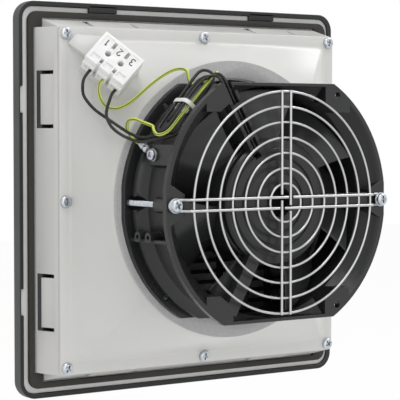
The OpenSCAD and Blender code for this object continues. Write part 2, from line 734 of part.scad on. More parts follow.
// Fan housing with its motor base
module duct() {
    r = fan_rear_z;
    f = fan_face_z;
    bell_depth = 8;
    rib_z = r + 8.2;
    rib_t = 3;
    rib_reach = 6;
    rib_foot = 3.5;
    under = f - fan_flange_t;
    flare_z = f - flare_depth;
    inside = [[duct_r + bell_r, r], [duct_r + bell_r / 2, r + 1.3], [duct_r + bell_r / 6, r + bell_depth / 2],
        [duct_r, r + bell_depth]];
    front_flange = [[duct_r, f], [fan_r, f], [fan_r, under], [waist_r + 4, under - 1.8]];
    waist = [[waist_r + 1, flare_z], [waist_r, flare_z - 7], [waist_r, rib_z + 7.5]];
    rib = [[waist_r + rib_reach / 2, rib_z + rib_t + 1], [waist_r + rib_reach, rib_z + rib_t],
        [waist_r + rib_reach, rib_z], [waist_r + rib_foot, rib_z - 2]];
    rear_flange = [[waist_r + rib_foot, r + fan_flange_t], [fan_r, r + fan_flange_t], [fan_r, r]];
    rotate_extrude($fn = 128) polygon(concat(inside, front_flange, waist, rib, rear_flange));
}

module outlet_flare() {
    pad_w = 20;
    pad_h = 22;
    wedge_in = 4;
    wedge_out = 13;
    core = duct_r - wedge_in;
    lip = (fan_h / 2 - duct_r) / 2 + duct_r - 1;
    difference() {
        intersection() {
            rotate_extrude($fn = 128) polygon([[core, fan_face_z - flare_depth - 4.6],
                [flare_r + 0.9, fan_face_z + over], [core, fan_face_z + over]]);
            translate([-fan_w, -lip, 0]) cube([2 * fan_w, 2 * lip, 2 * fan_face_z]);
        }
        slab(0, 2 * fan_face_z) {
            for (x = [-1, 1], y = [-1, 1]) translate([x * corner_x, y * corner_y])
                square([pad_w, pad_h], center = true);
            mirrored_x() polygon([[core - over, -wedge_in], [flare_r, -wedge_out],
                [fan_r + 2 * over, -wedge_out], [fan_r + 2 * over, wedge_out], [flare_r, wedge_out],
                [core - over, wedge_in]]);
        }
    }
}

module motor_base() {
    z = hub_z;
    b = z - hub_t;
    low = hub_r - 6;
    step = hub_r - 11.5;
    top = hub_r - 13;
    cap = 2 * bearing_r;
    rotate_extrude() polygon([[bearing_r, b], [hub_r, b], [hub_r, z - 3.3], [hub_r - 1.5, z - 1.8],
        [low, z - 1.8], [low, z - 0.7], [step, z - 0.7], [step, z - 1.7], [top, z - 1.7],
        [top, z], [cap, z], [cap, z - 0.9], [cap - 1.5, z - 0.9], [cap - 1.5, z], [bearing_r, z]]);
    ring(bearing_r + tube_wall, bearing_r, shoulder_z - bearing_w - 4, b + 0.5);
    ring(bearing_r + tube_wall / 2, bearing_r - 2, shoulder_z, shoulder_z + shoulder_l);
}

module struts() {
    inner = hub_r - 3;
    outer = waist_r + 1.5;
    for (a = [0, strut_a, -strut_a]) rotate([0, 0, a]) translate([inner, -strut_w / 2, fan_face_z - strut_t])
        cube([outer - inner, strut_w, strut_t - 1]);
    rotate([0, 0, strut_a]) translate([inner, -strut_w / 2, fan_face_z - 2])
        cube([outer - inner, strut_w, 2]);
}

module lead_channel() {
    rotate([0, 0, strut_a]) {
        translate([hub_r - 8, -channel_w / 2, fan_face_z - channel_d])
            cube([fan_r, channel_w, channel_d + over]);
        translate([hub_r - 8, -channel_w / 2, fan_face_z - 2 * hub_t])
            cube([channel_w, channel_w, 2 * hub_t]);
    }
}

module channel_clips() {
    rotate([0, 0, strut_a]) for (i = [0:2])
        translate([hub_r + 6 + i * (duct_r - hub_r) / 3, -channel_w / 2 - 0.5, fan_face_z - clip_h])
            cube([clip_l, channel_w + 1, clip_h]);
}

module eyelet_web() {
    web_l = 12;
    places = [for (i = [0, 1]) [-waist_r - eyelet_r, -eyelet_up, fan_rear_z + eyelet_in + i * eyelet_pitch]];
    difference() {
        union() {
            translate([-waist_r - 5, -eyelet_up - eyelet_r, fan_rear_z + fan_flange_t - 0.5])
                cube([web_l, 2, fan_depth - 2 * fan_flange_t - 1]);
            for (p = places) translate(p - [eyelet_r, 0, 0]) rotate([0, 90, 0])
                cylinder(r = eyelet_r, h = web_l);
        }
        for (p = places) translate(p - [eyelet_r + over, 0, 0]) rotate([0, 90, 0])
            cylinder(r = eyelet_hole_r, h = 8);
        cylinder(r = duct_r + 1, h = 2 * fan_face_z);
    }
}

module earth_lug() {
    difference() {
        translate([-earth_face, earth_up - earth_lug_w / 2, earth_in - earth_lug_w / 2])
            cube([9, earth_lug_w, fan_face_z - fan_flange_t - 4 - earth_in + earth_lug_w / 2]);
        cylinder(r = duct_r + 1, h = 2 * fan_face_z);
    }
}

module fan_housing() color(fan_black) upright() {
    difference() {
        union() {
            intersection() {
                union() {
                    duct();
                    mirrored_x() translate([guard_screw_pos, 0, fan_face_z - guard_boss_l])
                        cylinder(r = guard_boss_r, h = guard_boss_l - 1);
                }
                translate([0, 0, fan_face_z]) cube([fan_w, fan_h, 2 * fan_face_z], center = true);
            }
            earth_lug();
            eyelet_web();
        }
        outlet_flare();
        mirrored_x() translate([guard_screw_pos, 0, 0]) {
            cylinder(r = m4_shank_r + through_clear, h = fan_face_z + over);
            translate([0, 0, fan_rear_z + fan_flange_t / 2])
                cylinder(r = guard_boss_r - 0.6, h = fan_depth - guard_boss_l - fan_flange_t / 2);
        }
        for (y = [-1, 1]) translate([corner_x, y * corner_y, fan_face_z - fan_flange_t - 8])
            cylinder(r = flange_hole_r, h = fan_flange_t + 8 + over);
        fan_hole_places() translate([0, 0, fan_rear_z - over])
            cylinder(r = m4_shank_r + pilot_clear, h = fan_flange_t + over + 6);
        rotate([0, 0, strut_a]) translate([duct_r - 3, -channel_w / 2, fan_face_z - channel_d])
            cube([fan_r, channel_w, 2 * channel_d]);
        translate([-earth_face - over, earth_up, earth_in]) rotate([0, 90, 0])
            cylinder(r = m4_shank_r + pilot_clear, h = earth_screw_l + 2 * over);
    }
    difference() {
        union() {
            motor_base();
            struts();
        }
        lead_channel();
    }
    channel_clips();
}

// Motor pieces that stand still
module stator_core() color(steel) upright() difference() {
    ring(stator_r, bearing_r + tube_wall + press_clear, stator_z, stator_z + stator_l);
    slot_l = 8.5;
    slot_w = 3.2;
    mouth_w = 1.2;
    for (a = [0:30:330]) rotate([0, 0, a]) translate([stator_r - 11, -slot_w / 2, stator_z - over]) {
        cube([slot_l, slot_w, stator_l + 2 * over]);
        translate([slot_l - 0.5, (slot_w - mouth_w) / 2, 0]) cube([4, mouth_w, stator_l + 2 * over]);
    }
}

module stator_windings() color("#b06a34") upright() for (z = [stator_z - winding_h, stator_z + stator_l])
    translate([0, 0, z]) rotate_extrude() translate([stator_r - 7, winding_h / 2]) intersection() {
        square([10, winding_h], center = true);
        circle(r = 5.2);
    }

module ball_bearing(z) {
    ring(bearing_r - press_clear, shaft_r + shaft_clear, z, z + bearing_w);
}

module bearing_front() color(steel) upright() ball_bearing(shoulder_z + shoulder_l + spring_h);

module bearing_rear() color(steel) upright() ball_bearing(shoulder_z - bearing_w);

module preload_spring() color(steel) upright()
    ring(bearing_r - 0.8, bearing_r - 3, shoulder_z + shoulder_l, shoulder_z + shoulder_l + spring_h);

// Motor and fan pieces that turn
module rotor_shaft() color(zinc) upright() difference() {
    translate([0, 0, cup_z + 0.2]) cylinder(r = shaft_r, h = clip_z + clip_t + 1.4 - cup_z - 0.2);
    ring(shaft_r + over, shaft_r - 0.4, clip_z - press_clear, clip_z + clip_t + press_clear);
}

module shaft_clip() color(steel) upright() difference() {
    ring(shaft_r + 2, shaft_r - 0.4 + press_clear, clip_z, clip_z + clip_t);
    translate([0, -1, clip_z - over]) cube([shaft_r + 3, 2, clip_t + 2 * over]);
}

module rotor_cup() color("#3a3b3d") upright() {
    boss_end = shoulder_z - bearing_w - 0.6;
    difference() {
        union() {
            difference() {
                translate([0, 0, cup_z]) cylinder(r = cup_r, h = cup_depth);
                translate([0, 0, cup_z + cup_wall]) cylinder(r = cup_r - cup_wall, h = cup_depth);
            }
            translate([0, 0, cup_z + cup_wall / 2])
                cylinder(r = 2 * shaft_r, h = boss_end - cup_z - cup_wall / 2);
        }
        translate([0, 0, cup_z - over]) cylinder(r = shaft_r + press_clear, h = cup_depth);
    }
}

module rotor_cage() color("#8c8d8f") upright()
    ring(cup_r - cup_wall - press_clear, stator_r + air_gap, stator_z - 1, stator_z + stator_l + 1);

// A blade section at radius r: its front face from the rear edge to the front edge, then its rear face back
function blade_point(r, u, side) = let (z = blade_rear_z + blade_depth * (u + 0.1 * sin(180 * u)),
        a = blade_rest + blade_sweep * (1 - u) - 6 * (r - ring_r) / (tip_r - ring_r),
        t = blade_t * (0.35 + 0.65 * sin(180 * min(1, u + 0.12))))
    [r * cos(a), r * sin(a), z + side * t];
function blade_ring(r) = concat([for (u = [0:0.125:1]) blade_point(r, u, 0.5)],
    [for (u = [1:-0.125:0]) blade_point(r, u, -0.5)]);

module impeller() color(fan_black) upright() {
    root = ring_r - 0.8;
    ring(ring_r, cup_r + press_clear, blade_rear_z - blade_in / 2, cup_z + cup_depth);
    for (i = [0:blades - 1]) rotate([0, 0, 360 * i / blades])
        skin([for (k = [0:5]) blade_ring(root + (tip_r - root) * k / 5)], true);
}

// Wire finger guard
module wire_ring(r, z) {
    translate([0, 0, z]) rotate_extrude($fn = 128) translate([r, 0]) circle(wire_r, $fn = 24);
}

module spoke_pair(long_side, reach) {
    x = long_side * spoke_half;
    lap = 1.2 * wire_r;
    rod([x, lap - spoke_half, spoke_z], [x, reach, spoke_z], wire_r);
    rod([-x, lap + spoke_half, spoke_z], [-x, reach, spoke_z], wire_r);
}

module fixing_loop() {
    bend = guard_screw_pos - 5;
    for (s = [-1, 1]) {
        rod([s * spoke_half, guard_r + 1.2, spoke_z], [s * spoke_half, bend + 0.3, loop_z], 0.97 * wire_r);
        rod([s * spoke_half, bend, loop_z], [s * spoke_half, guard_screw_pos, loop_z], wire_r);
    }
    translate([0, guard_screw_pos, loop_z]) rotate_extrude(angle = 180)
        translate([spoke_half, 0]) circle(wire_r, $fn = 24);
}

module finger_guard() color("#cfd1d2") upright() {
    for (i = [0:ring_count - 1]) wire_ring(ring_first + i * ring_step, guard_z);
    for (a = [0, 180]) rotate([0, 0, a]) spoke_pair(1, guard_r + 0.8);
    for (a = [90, 270]) rotate([0, 0, a]) {
        spoke_pair(1, guard_r + 2);
        fixing_loop();
    }
}

module guard_screws() color(zinc) upright() mirrored_x() translate([guard_screw_pos, 0, washer_z + washer_t])
    pan_screw(m4_head_r, m4_head_h, m4_shank_r, guard_screw_l);

module guard_washers() color(steel) upright() mirrored_x() translate([guard_screw_pos, 0, 0])
    ring(washer_r, m4_shank_r + through_clear, washer_z, washer_z + washer_t);

// Earth connection on the fan's side
module on_earth_lug() {
    translate([-earth_face, earth_up, earth_in]) rotate([0, -90, 0]) children();
}

module earth_screw() color(zinc) upright() on_earth_lug() translate([0, 0, ring_term_t + washer_t])
    pan_screw(m4_head_r * 0.9, m4_head_h, m4_shank_r, earth_screw_l);

module earth_washer() color(steel) upright() on_earth_lug()
    ring(m4_head_r, m4_shank_r + through_clear, ring_term_t, ring_term_t + washer_t);

module ring_terminal() color("#d8cfae") upright() on_earth_lug() {
    barrel = 5;
    barrel_a = 150.6;
    barrel_wall = 0.95;
    neck_w = 2.6;
    grip = 2;
    difference() {
        union() {
            cylinder(r = ring_term_r, h = ring_term_t);
            rotate([0, 0, barrel_a]) translate([0, -neck_w / 2, 0]) cube([barrel + 1, neck_w, ring_term_t]);
        }
        translate([0, 0, -over]) cylinder(r = m4_shank_r + through_clear, h = ring_term_t + 2 * over);
    }
    rotate([0, 0, barrel_a]) translate([barrel, 0, grip]) rotate([0, 90, 0]) difference() {
        cylinder(r = lead_r + barrel_wall, h = crimp_l);
        translate([0, 0, crimp_l - grip]) cylinder(r = lead_r + slip, h = grip + over);
    }
}

// Terminal block on the hood's hip
module poles() {
    for (x = [-pole_pitch, 0, pole_pitch]) translate([x, 0, term_seat_h]) children();
}

module clamp_body(grow) {
    translate([-clamp_w / 2 - grow, -clamp_l / 2 - grow, entry_h - clamp_h / 2 - grow])
        cube([clamp_w + 2 * grow, clamp_l + 2 * grow, clamp_h + 2 * grow]);
}

module entries(y, length) {
    for (s = [-1, 1]) translate([s * entry_shift, y, entry_h]) rotate([-90, 0, 0])
        cylinder(r = entry_r, h = length);
}

// What is cut between two poles: a fixing hole, two slots and a notch at the front
module pole_gap() {
    slot_w = 2.2;
    slot_d = 6;
    cylinder(r = term_screw_r + through_clear, h = term_h + over);
    translate([0, 0, term_screw_z]) cylinder(r = 1.5 * term_screw_r + slip, h = term_h);
    translate([-slot_w / 2, 4.4, term_h - slot_d]) cube([slot_w, 5, slot_d + over]);
    translate([-slot_w / 2, -8.4, term_h - slot_d]) cube([slot_w, 3.4, slot_d + over]);
    translate([-slot_w / 2, term_front - over, -over]) cube([slot_w, pole_step + over, term_h + 2 * over]);
}

// What is cut into a pole's top: a window before the push button and a plate for its mark
module pole_top() {
    top_w = 5.6;
    window_d = 1.4;
    plate_d = 0.4;
    translate([-top_w / 2, term_front + pole_step, term_h - window_d]) cube([top_w, 4.2, window_d + over]);
    translate([-top_w / 2, 1.4, term_h - plate_d]) cube([top_w, 8.4, plate_d + over]);
    translate([-pole_pitch, term_front - over, pole_step_h])
        cube([2 * pole_pitch, pole_step / 2 + over, term_h]);
}

module terminal_block() color("white") upright() on_hip() difference() {
    translate([-term_l / 2, term_front, term_seat_h]) cube([term_l, term_w, term_h]);
    poles() {
        clamp_body(pilot_clear);
        entries(term_front - over, term_w + 2 * over);
        pole_top();
    }
    for (s = [-1, 1]) translate([s * pole_pitch / 2, 0, term_seat_h]) pole_gap();
}

module terminal_clamps() color("#c9a24a") upright() on_hip() poles() difference() {
    clamp_body(0);
    for (y = [-clamp_l / 2 - over, 1]) entries(y, clamp_l / 2 - 1 + over);
}

module terminal_screws() color(zinc) upright() on_hip() for (s = [-1, 1])
    translate([s * pole_pitch / 2, 0, term_seat_h + term_screw_z])
        pan_screw(1.5 * term_screw_r, term_head_h, term_screw_r, term_screw_l);

// Leads, their folded hank and its tie
module lead_live() color("#2b2b2d") upright() lead(live_route);

module lead_neutral() color("#2b2b2d") upright() lead(neutral_route);

module lead_earth() color("#b9c93a") upright() lead(earth_route);

module earth_tail() color("#b9c93a") upright() lead(tail_route);

module motor_leads() color("#2b2b2d") upright() for (s = [-1, 1])
    lead([for (p = motor_route) p + s * motor_lead_shift]);

module on_hank() {
    translate(hank_mid) rotate([0, 0, hank_a]) rotate([90, 0, 0]) children();
}

module lead_hank() color("#333335") upright() on_hank() translate([0, 0, -hank_t / 2]) linear_extrude(hank_t)
    rounded_square(hank_l, hank_w, hank_w / 2 - 0.01);

module cable_tie() color("white") upright() on_hank() {
    w = hank_w + 2 * slip;
    t = hank_t + 2 * slip;
    head_l = tie_w + 0.8;
    head_w = 5;
    head_rise = 2.6;
    head_root = 0.4;
    rotate([0, 90, 0]) translate([0, 0, -tie_w / 2]) linear_extrude(tie_w) difference() {
        square([t + 2 * tie_t, w + 2 * tie_t], center = true);
        square([t, w], center = true);
    }
    translate([-head_l / 2, -head_w / 2, -t / 2 - tie_t - head_rise])
        cube([head_l, head_w, head_rise + head_root]);
}

front_cover();
filter_mat();
filter_grid();
mounting_frame();
panel_gasket();
fan_hood();
hood_screws();
fan_seal();
fan_screws();
fan_housing();
stator_core();
stator_windings();
bearing_front();
bearing_rear();
preload_spring();
rotor_shaft();
shaft_clip();
rotor_cup();
rotor_cage();
impeller();
finger_guard();
guard_screws();
guard_washers();
earth_screw();
earth_washer();
ring_terminal();
terminal_block();
terminal_clamps();
terminal_screws();
lead_live();
lead_neutral();
lead_earth();
earth_tail();
motor_leads();
lead_hank();
cable_tie();
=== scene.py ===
import bpy
import bmesh
import json
import math
from mathutils import Matrix, Vector


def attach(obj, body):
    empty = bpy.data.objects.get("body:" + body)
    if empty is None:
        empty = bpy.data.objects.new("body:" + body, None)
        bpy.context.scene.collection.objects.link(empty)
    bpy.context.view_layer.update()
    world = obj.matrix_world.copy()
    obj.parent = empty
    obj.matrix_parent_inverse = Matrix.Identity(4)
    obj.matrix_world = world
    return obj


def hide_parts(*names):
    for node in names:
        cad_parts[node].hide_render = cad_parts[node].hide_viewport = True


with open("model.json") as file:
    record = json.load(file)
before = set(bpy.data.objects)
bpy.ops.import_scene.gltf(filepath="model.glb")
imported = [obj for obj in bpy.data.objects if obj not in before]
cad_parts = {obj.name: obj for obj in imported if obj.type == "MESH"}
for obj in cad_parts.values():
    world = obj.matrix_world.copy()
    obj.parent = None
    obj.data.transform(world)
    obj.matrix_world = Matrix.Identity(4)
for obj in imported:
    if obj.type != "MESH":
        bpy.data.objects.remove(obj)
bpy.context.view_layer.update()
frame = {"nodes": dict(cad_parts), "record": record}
scene = bpy.context.scene
slotOf = {part["node"]: part["material_slot"] for part in frame["record"]["subparts"]}
bodyOf = {node: body for body, members in frame["record"]["behaviour"]["bodies"].items() for node in members}
mm = 0.001


def place(x, up, deep):  # millimetres to the right, up and into the cabinet, as a point of the frame
    return Vector((x * mm, -deep * mm, up * mm))


def turned(radius, degrees, deep):  # a point on a circle round the fan's axis
    angle = math.radians(degrees)
    return place(radius * math.cos(angle), radius * math.sin(angle), deep)


# Camera, as the photograph was taken
shot = {"eye": (-0.6249, -0.9161, 0.0470), "tilt": 87.45, "yaw": -34.79, "lens": 146.4, "sensor": 36}


def makeCamera():
    lens = bpy.data.cameras.new("camera")
    lens.lens = shot["lens"]
    lens.sensor_width = shot["sensor"]
    lens.clip_start = 0.05
    camera = bpy.data.objects.new("camera", lens)
    camera.location = shot["eye"]
    camera.rotation_euler = (math.radians(shot["tilt"]), 0, math.radians(shot["yaw"]))
    scene.collection.objects.link(camera)
    scene.camera = camera


makeCamera()
print("camera set")


# A shader or geometry socket that can be used in sums
class Wire:
    def __init__(self, tree, socket):
        self.tree = tree
        self.socket = socket

    def make(self, kind, settings=None, sockets=None, out=0):
        node = self.tree.nodes.new(kind)
        for key, value in (settings or {}).items():
            if key == "stops":
                ramp = node.color_ramp.elements
                while len(ramp) < len(value):
                    ramp.new(0.5)
                for stop, (position, colour) in zip(ramp, value):
                    stop.position = position
                    stop.color = (*colour, 1)
            else:
                setattr(node, key, value)
        for key, value in (sockets or {}).items():
            if isinstance(value, Wire):
                self.tree.links.new(value.socket, node.inputs[key])
            else:
                node.inputs[key].default_value = value
        return Wire(self.tree, node.outputs[out]) if node.outputs else None

    def sum(self, operation, first, second):
        return self.make("ShaderNodeMath", {"operation": operation}, {0: first, 1: second})

    def __add__(self, other):
        return self.sum("ADD", self, other)

    def __radd__(self, other):
        return self.sum("ADD", other, self)

    def __sub__(self, other):
        return self.sum("SUBTRACT", self, other)

    def __rsub__(self, other):
        return self.sum("SUBTRACT", other, self)

    def __mul__(self, other):
        return self.sum("MULTIPLY", self, other)

    def __rmul__(self, other):
        return self.sum("MULTIPLY", other, self)

    def ramp(self, *stops):
        return self.make("ShaderNodeValToRGB", {"stops": stops}, {"Fac": self})

    def step(self, low, high):
        return self.make("ShaderNodeMapRange", {"interpolation_type": "SMOOTHSTEP"},
                         {"Value": self, "From Min": low, "From Max": high})

    def mixed(self, low, high):  # two colours, by this factor
        return self.make("ShaderNodeMix", {"data_type": "RGBA"}, {0: self, 6: low, 7: high}, 2)

    def noise(self, scale, detail=3.0, roughness=0.55):  # this socket gives the coordinates
        return self.make("ShaderNodeTexNoise", {}, {"Vector": self, "Scale": scale, "Detail": detail,
                                                    "Roughness": roughness})

    def cells(self, scale):
        return self.make("ShaderNodeTexVoronoi", {}, {"Vector": self, "Scale": scale})

    def bump(self, strength, distance, edge=None):  # this socket gives the height
        sockets = {"Height": self, "Strength": strength, "Distance": distance}
        if edge is not None:
            sockets["Normal"] = edge
        return self.make("ShaderNodeBump", {}, sockets)

    def softEdge(self, radius):
        return self.make("ShaderNodeBevel", {"samples": 6}, {"Radius": radius})

    def facing(self, axis):  # how far a surface faces along an axis, from -1 to 1
        normal = self.make("ShaderNodeNewGeometry", out=1)
        return self.make("ShaderNodeSeparateXYZ", {}, {0: normal}, axis)


def startFinish(name):
    material = bpy.data.materials.new(name)
    material.use_nodes = True
    tree = material.node_tree
    tree.nodes.clear()
    coords = tree.nodes.new("ShaderNodeTexCoord")
    return material, Wire(tree, coords.outputs["Object"])


def closeFinish(coords, sockets):
    shader = coords.make("ShaderNodeBsdfPrincipled", {}, sockets)
    coords.make("ShaderNodeOutputMaterial", {}, {"Surface": shader})


def grey(level, warm=0.0):
    return (level * (1 + warm), level, level * (1 - warm), 1)


# Moulded dark grey of the cover and the grid: a fine spark-eroded grain, and painted shade that darkens what faces
# into the cabinet almost to black
def coverFinish():
    material, at = startFinish("coverGrain")
    grain = at.noise(2600, 2.0)
    cloud = at.noise(26, 4.0)
    tone = cloud.step(0.3, 0.7).mixed(grey(0.056, -0.02), grey(0.072, -0.02))
    # painted shade: faces that look into the cabinet, such as the rim's rear face, are coloured near black to stand in
    # for the shade that falls on them
    rearShade = at.facing(1).step(-0.98, -0.7)
    tone = rearShade.mixed(grey(0.012, -0.02), tone)
    closeFinish(at, {"Base Color": tone, "Roughness": 0.46 + 0.16 * grain,
                     "Normal": grain.bump(0.35, 0.00012, at.softEdge(0.0005)), "Specular IOR Level": 0.42})
    return material


# Pale polycarbonate of the frame and hood: satin, with a faint waviness from the mould
def paleFinish(name, level):
    material, at = startFinish(name)
    grain = at.noise(1900, 2.0)
    cloud = at.noise(14, 4.0)
    smudge = at.noise(60, 5.0).step(0.52, 0.75)
    tint = (level, level * 1.008, level * 0.965, 1)
    tone = cloud.step(0.3, 0.7).mixed(tint, grey(level * 1.03, 0.012))
    tone = (smudge * 0.1).mixed(tone, grey(level * 0.86, 0.02))
    height = grain * 0.25 + cloud
    closeFinish(at, {"Base Color": tone, "Roughness": 0.26 + 0.1 * grain + 0.06 * smudge,
                     "Normal": height.bump(0.12, 0.0004, at.softEdge(0.0006)), "Specular IOR Level": 0.45,
                     "Subsurface Weight": 0.12, "Subsurface Radius": (0.004, 0.004, 0.0036),
                     "Subsurface Scale": 1.0})
    return material


# Foam: cells cut open on the surface
def foamFinish(name, level, warm, cell):
    material, at = startFinish(name)
    pores = at.cells(cell)
    mottle = at.noise(cell * 0.25, 4.0)
    tone = mottle.mixed(grey(level * 0.8, warm), grey(level * 1.15, warm))
    height = pores.step(0.1, 0.6) + mottle * 0.4
    closeFinish(at, {"Base Color": tone, "Roughness": 0.78 + 0.16 * mottle, "Specular IOR Level": 0.25,
                     "Normal": height.bump(0.5, 0.0003)})
    return material


# Satin black of the fan: stove enamel with a slight orange peel and a little dust on what faces up
def enamelFinish(name, level, peel):
    material, at = startFinish(name)
    orange = at.noise(700, 3.0)
    cloud = at.noise(40, 5.0)
    dust = at.facing(2).step(0.35, 1.0) * cloud.step(0.35, 0.7)
    tone = cloud.mixed(grey(level * 0.85, -0.03), grey(level * 1.2, -0.02))
    tone = (dust * 0.25).mixed(tone, grey(level * 2.4, 0.04))
    closeFinish(at, {"Base Color": tone, "Roughness": 0.2 + 0.12 * cloud + 0.2 * dust,
                     "Normal": orange.bump(peel, 0.00025, at.softEdge(0.0007)), "Specular IOR Level": 0.42})
    return material


# Bright plated wire: drawn lines along it and a few dull patches
def wireFinish():
    material, at = startFinish("brightWire")
    patch = at.noise(90, 4.0)
    line = at.noise(1500, 2.0)
    tone = patch.mixed(grey(0.47, -0.008), grey(0.6, 0.004))
    closeFinish(at, {"Base Color": tone, "Metallic": 1.0, "Roughness": 0.27 + 0.12 * patch,
                     "Normal": line.bump(0.06, 0.00008)})
    return material


# Zinc plate of the screws and washers
def zincFinish():
    material, at = startFinish("zincPlate")
    patch = at.noise(420, 5.0)
    spangle = at.cells(900)
    tone = patch.ramp((0.3, (0.44, 0.48, 0.52)), (0.6, (0.6, 0.63, 0.66)), (0.8, (0.66, 0.67, 0.66)))
    closeFinish(at, {"Base Color": tone, "Metallic": 1.0, "Roughness": 0.24 + 0.14 * patch,
                     "Normal": spangle.bump(0.05, 0.00006, at.softEdge(0.0002))})
    return material


# Plain motor steel, copper wire and brass
def metalFinish(name, dark, light, rough, scale):
    material, at = startFinish(name)
    patch = at.noise(scale, 5.0)
    tone = patch.mixed((*dark, 1), (*light, 1))
    closeFinish(at, {"Base Color": tone, "Metallic": 1.0, "Roughness": rough + 0.15 * patch,
                     "Normal": patch.bump(0.1, 0.0001)})
    return material


# Smooth white polyamide of the terminal block and the tie
def nylonFinish(name, level):
    material, at = startFinish(name)
    cloud = at.noise(160, 4.0)
    tone = cloud.mixed(grey(level * 0.95, 0.006), grey(level, 0.0))
    closeFinish(at, {"Base Color": tone, "Roughness": 0.3 + 0.12 * cloud, "Specular IOR Level": 0.5,
                     "Normal": cloud.bump(0.08, 0.0002, at.softEdge(0.0003)), "Subsurface Weight": 0.15,
                     "Subsurface Radius": (0.002, 0.002, 0.0018), "Subsurface Scale": 1.0})
    return material


# Black insulation and rubber: one faint cloud in tone, gloss and relief
def plainFinish(name, scale, dark, light, rough, shine, relief):
    material, at = startFinish(name)
    cloud = at.noise(scale, 4.0)
    closeFinish(at, {"Base Color": cloud.mixed(dark, light), "Roughness": rough[0] + rough[1] * cloud,
                     "Specular IOR Level": shine, "Normal": cloud.bump(*relief)})
    return material


# Insulation of the earth lead: yellow, with thin green stripes that follow the lead in a slow twist
stripes = {"count": 2, "start": 0.02, "twist": 0.24, "waver": 0.03, "edge": (0.62, 0.92)}


def earthLeadFinish():
    material, at = startFinish("earthInsulation")
    onLead = at.make("ShaderNodeUVMap", {"uv_map": "lead"})
    around = at.make("ShaderNodeSeparateXYZ", {}, {0: onLead}, 0)
    along = at.make("ShaderNodeSeparateXYZ", {}, {0: onLead}, 1)
    cloud = at.noise(240, 4.0)
    turn = around + along * stripes["twist"] + cloud * stripes["waver"] + stripes["start"]
    stripe = at.sum("COSINE", turn * (2 * math.pi * stripes["count"]), 0).step(*stripes["edge"])
    yellow = cloud.mixed((0.62, 0.7, 0.1, 1), (0.7, 0.76, 0.14, 1))
    green = cloud.mixed((0.08, 0.13, 0.008, 1), (0.11, 0.165, 0.012, 1))
    closeFinish(at, {"Base Color": stripe.mixed(yellow, green), "Roughness": 0.32 + 0.14 * cloud,
                     "Specular IOR Level": 0.5, "Normal": cloud.bump(0.08, 0.00015)})
    return material


# Filter fleece: matted fibres
def fleeceFinish():
    material, at = startFinish("fleece")
    stretched = at.make("ShaderNodeMapping", {}, {"Vector": at, "Scale": (1.0, 1.0, 3.2), "Rotation": (0.3, 0.5, 0.7)})
    crossed = at.make("ShaderNodeMapping", {}, {"Vector": at, "Scale": (3.4, 1.0, 1.0), "Rotation": (0.9, 0.2, 0.4)})
    fibre = stretched.noise(620, 5.0, 0.7)
    second = crossed.noise(560, 5.0, 0.7)
    height = fibre.step(0.42, 0.6) + second.step(0.42, 0.6)
    tone = (height * 0.5).mixed(grey(0.66, 0.012), grey(0.86, 0.008))
    closeFinish(at, {"Base Color": tone, "Roughness": 0.92 + 0.05 * fibre, "Specular IOR Level": 0.1,
                     "Normal": height.bump(0.8, 0.0008), "Sheen Weight": 0.3})
    return material


finish = {
    "cover_plastic": coverFinish(),
    "pale_plastic": paleFinish("palePlastic", 0.63),
    "filter_fleece": fleeceFinish(),
    "gasket_foam": foamFinish("gasketFoam", 0.045, 0.05, 1400),
    "seal_foam": foamFinish("sealFoam", 0.52, 0.0, 2200),
    "fan_black": enamelFinish("fanEnamel", 0.022, 0.12),
    "impeller_black": enamelFinish("impellerNylon", 0.03, 0.08),
    "zinc_steel": zincFinish(),
    "guard_wire": wireFinish(),
    "motor_steel": metalFinish("motorSteel", (0.3, 0.31, 0.32), (0.5, 0.5, 0.5), 0.3, 200),
    "copper": metalFinish("windingCopper", (0.4, 0.14, 0.05), (0.66, 0.27, 0.1), 0.28, 500),
    "terminal_white": nylonFinish("terminalNylon", 0.92),
    "clamp_brass": metalFinish("clampBrass", (0.5, 0.33, 0.1), (0.7, 0.5, 0.2), 0.25, 300),
    "lead_black": plainFinish("blackInsulation", 300, grey(0.008, -0.03), grey(0.015, -0.02), (0.2, 0.14), 0.42,
                              (0.1, 0.00015)),
    "lead_earth": earthLeadFinish(),
    "tie_white": nylonFinish("tieNylon", 0.86),
}
for node, part in frame["nodes"].items():
    part.data.materials.clear()
    part.data.materials.append(finish[slotOf[node]])
print("finishes made:", len(finish))


# Mesh helpers
def addPiece(name, mesh, slotName, body, standsFor=(), angle=32):
    mesh.materials.clear()
    mesh.materials.append(finish[slotName])
    mesh.shade_smooth()
    mesh.set_sharp_from_angle(angle=math.radians(angle))
    piece = bpy.data.objects.new(name, mesh)
    scene.collection.objects.link(piece)
    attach(piece, body)
    for node in standsFor:
        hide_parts(node)
    return piece


def rework(mesh, *steps):
    work = bmesh.new()
    work.from_mesh(mesh)
    for step in steps:
        step(work)
    work.to_mesh(mesh)
    work.free()
    return mesh


def weld(work, gap=1e-6):
    bmesh.ops.remove_doubles(work, verts=work.verts, dist=gap)


def flatten(work):  # joins faces that lie in one plane
    bmesh.ops.dissolve_limit(work, angle_limit=math.radians(0.6), verts=work.verts, edges=work.edges)


def faceOut(work):
    bmesh.ops.recalc_face_normals(work, faces=work.faces)


def plainMesh(name, points, faces):
    mesh = bpy.data.meshes.new(name)
    mesh.from_pydata([tuple(p) for p in points], [], faces)
    return mesh


def meshOf(name, points, faces):
    return rework(plainMesh(name, points, faces), weld, faceOut)


def loft(rings, looped=False, capped=False):  # rings of points, each joined to the next
    count = len(rings[0])
    points = [p for ring in rings for p in ring]
    faces = []
    for i in range(len(rings) if looped else len(rings) - 1):
        a = i * count
        b = (i + 1) % len(rings) * count
        for j in range(count):
            k = (j + 1) % count
            faces.append((a + j, a + k, b + k, b + j))
    if capped:
        faces.append(tuple(range(count)))
        faces.append(tuple(range(len(points) - count, len(points))))
    return points, faces


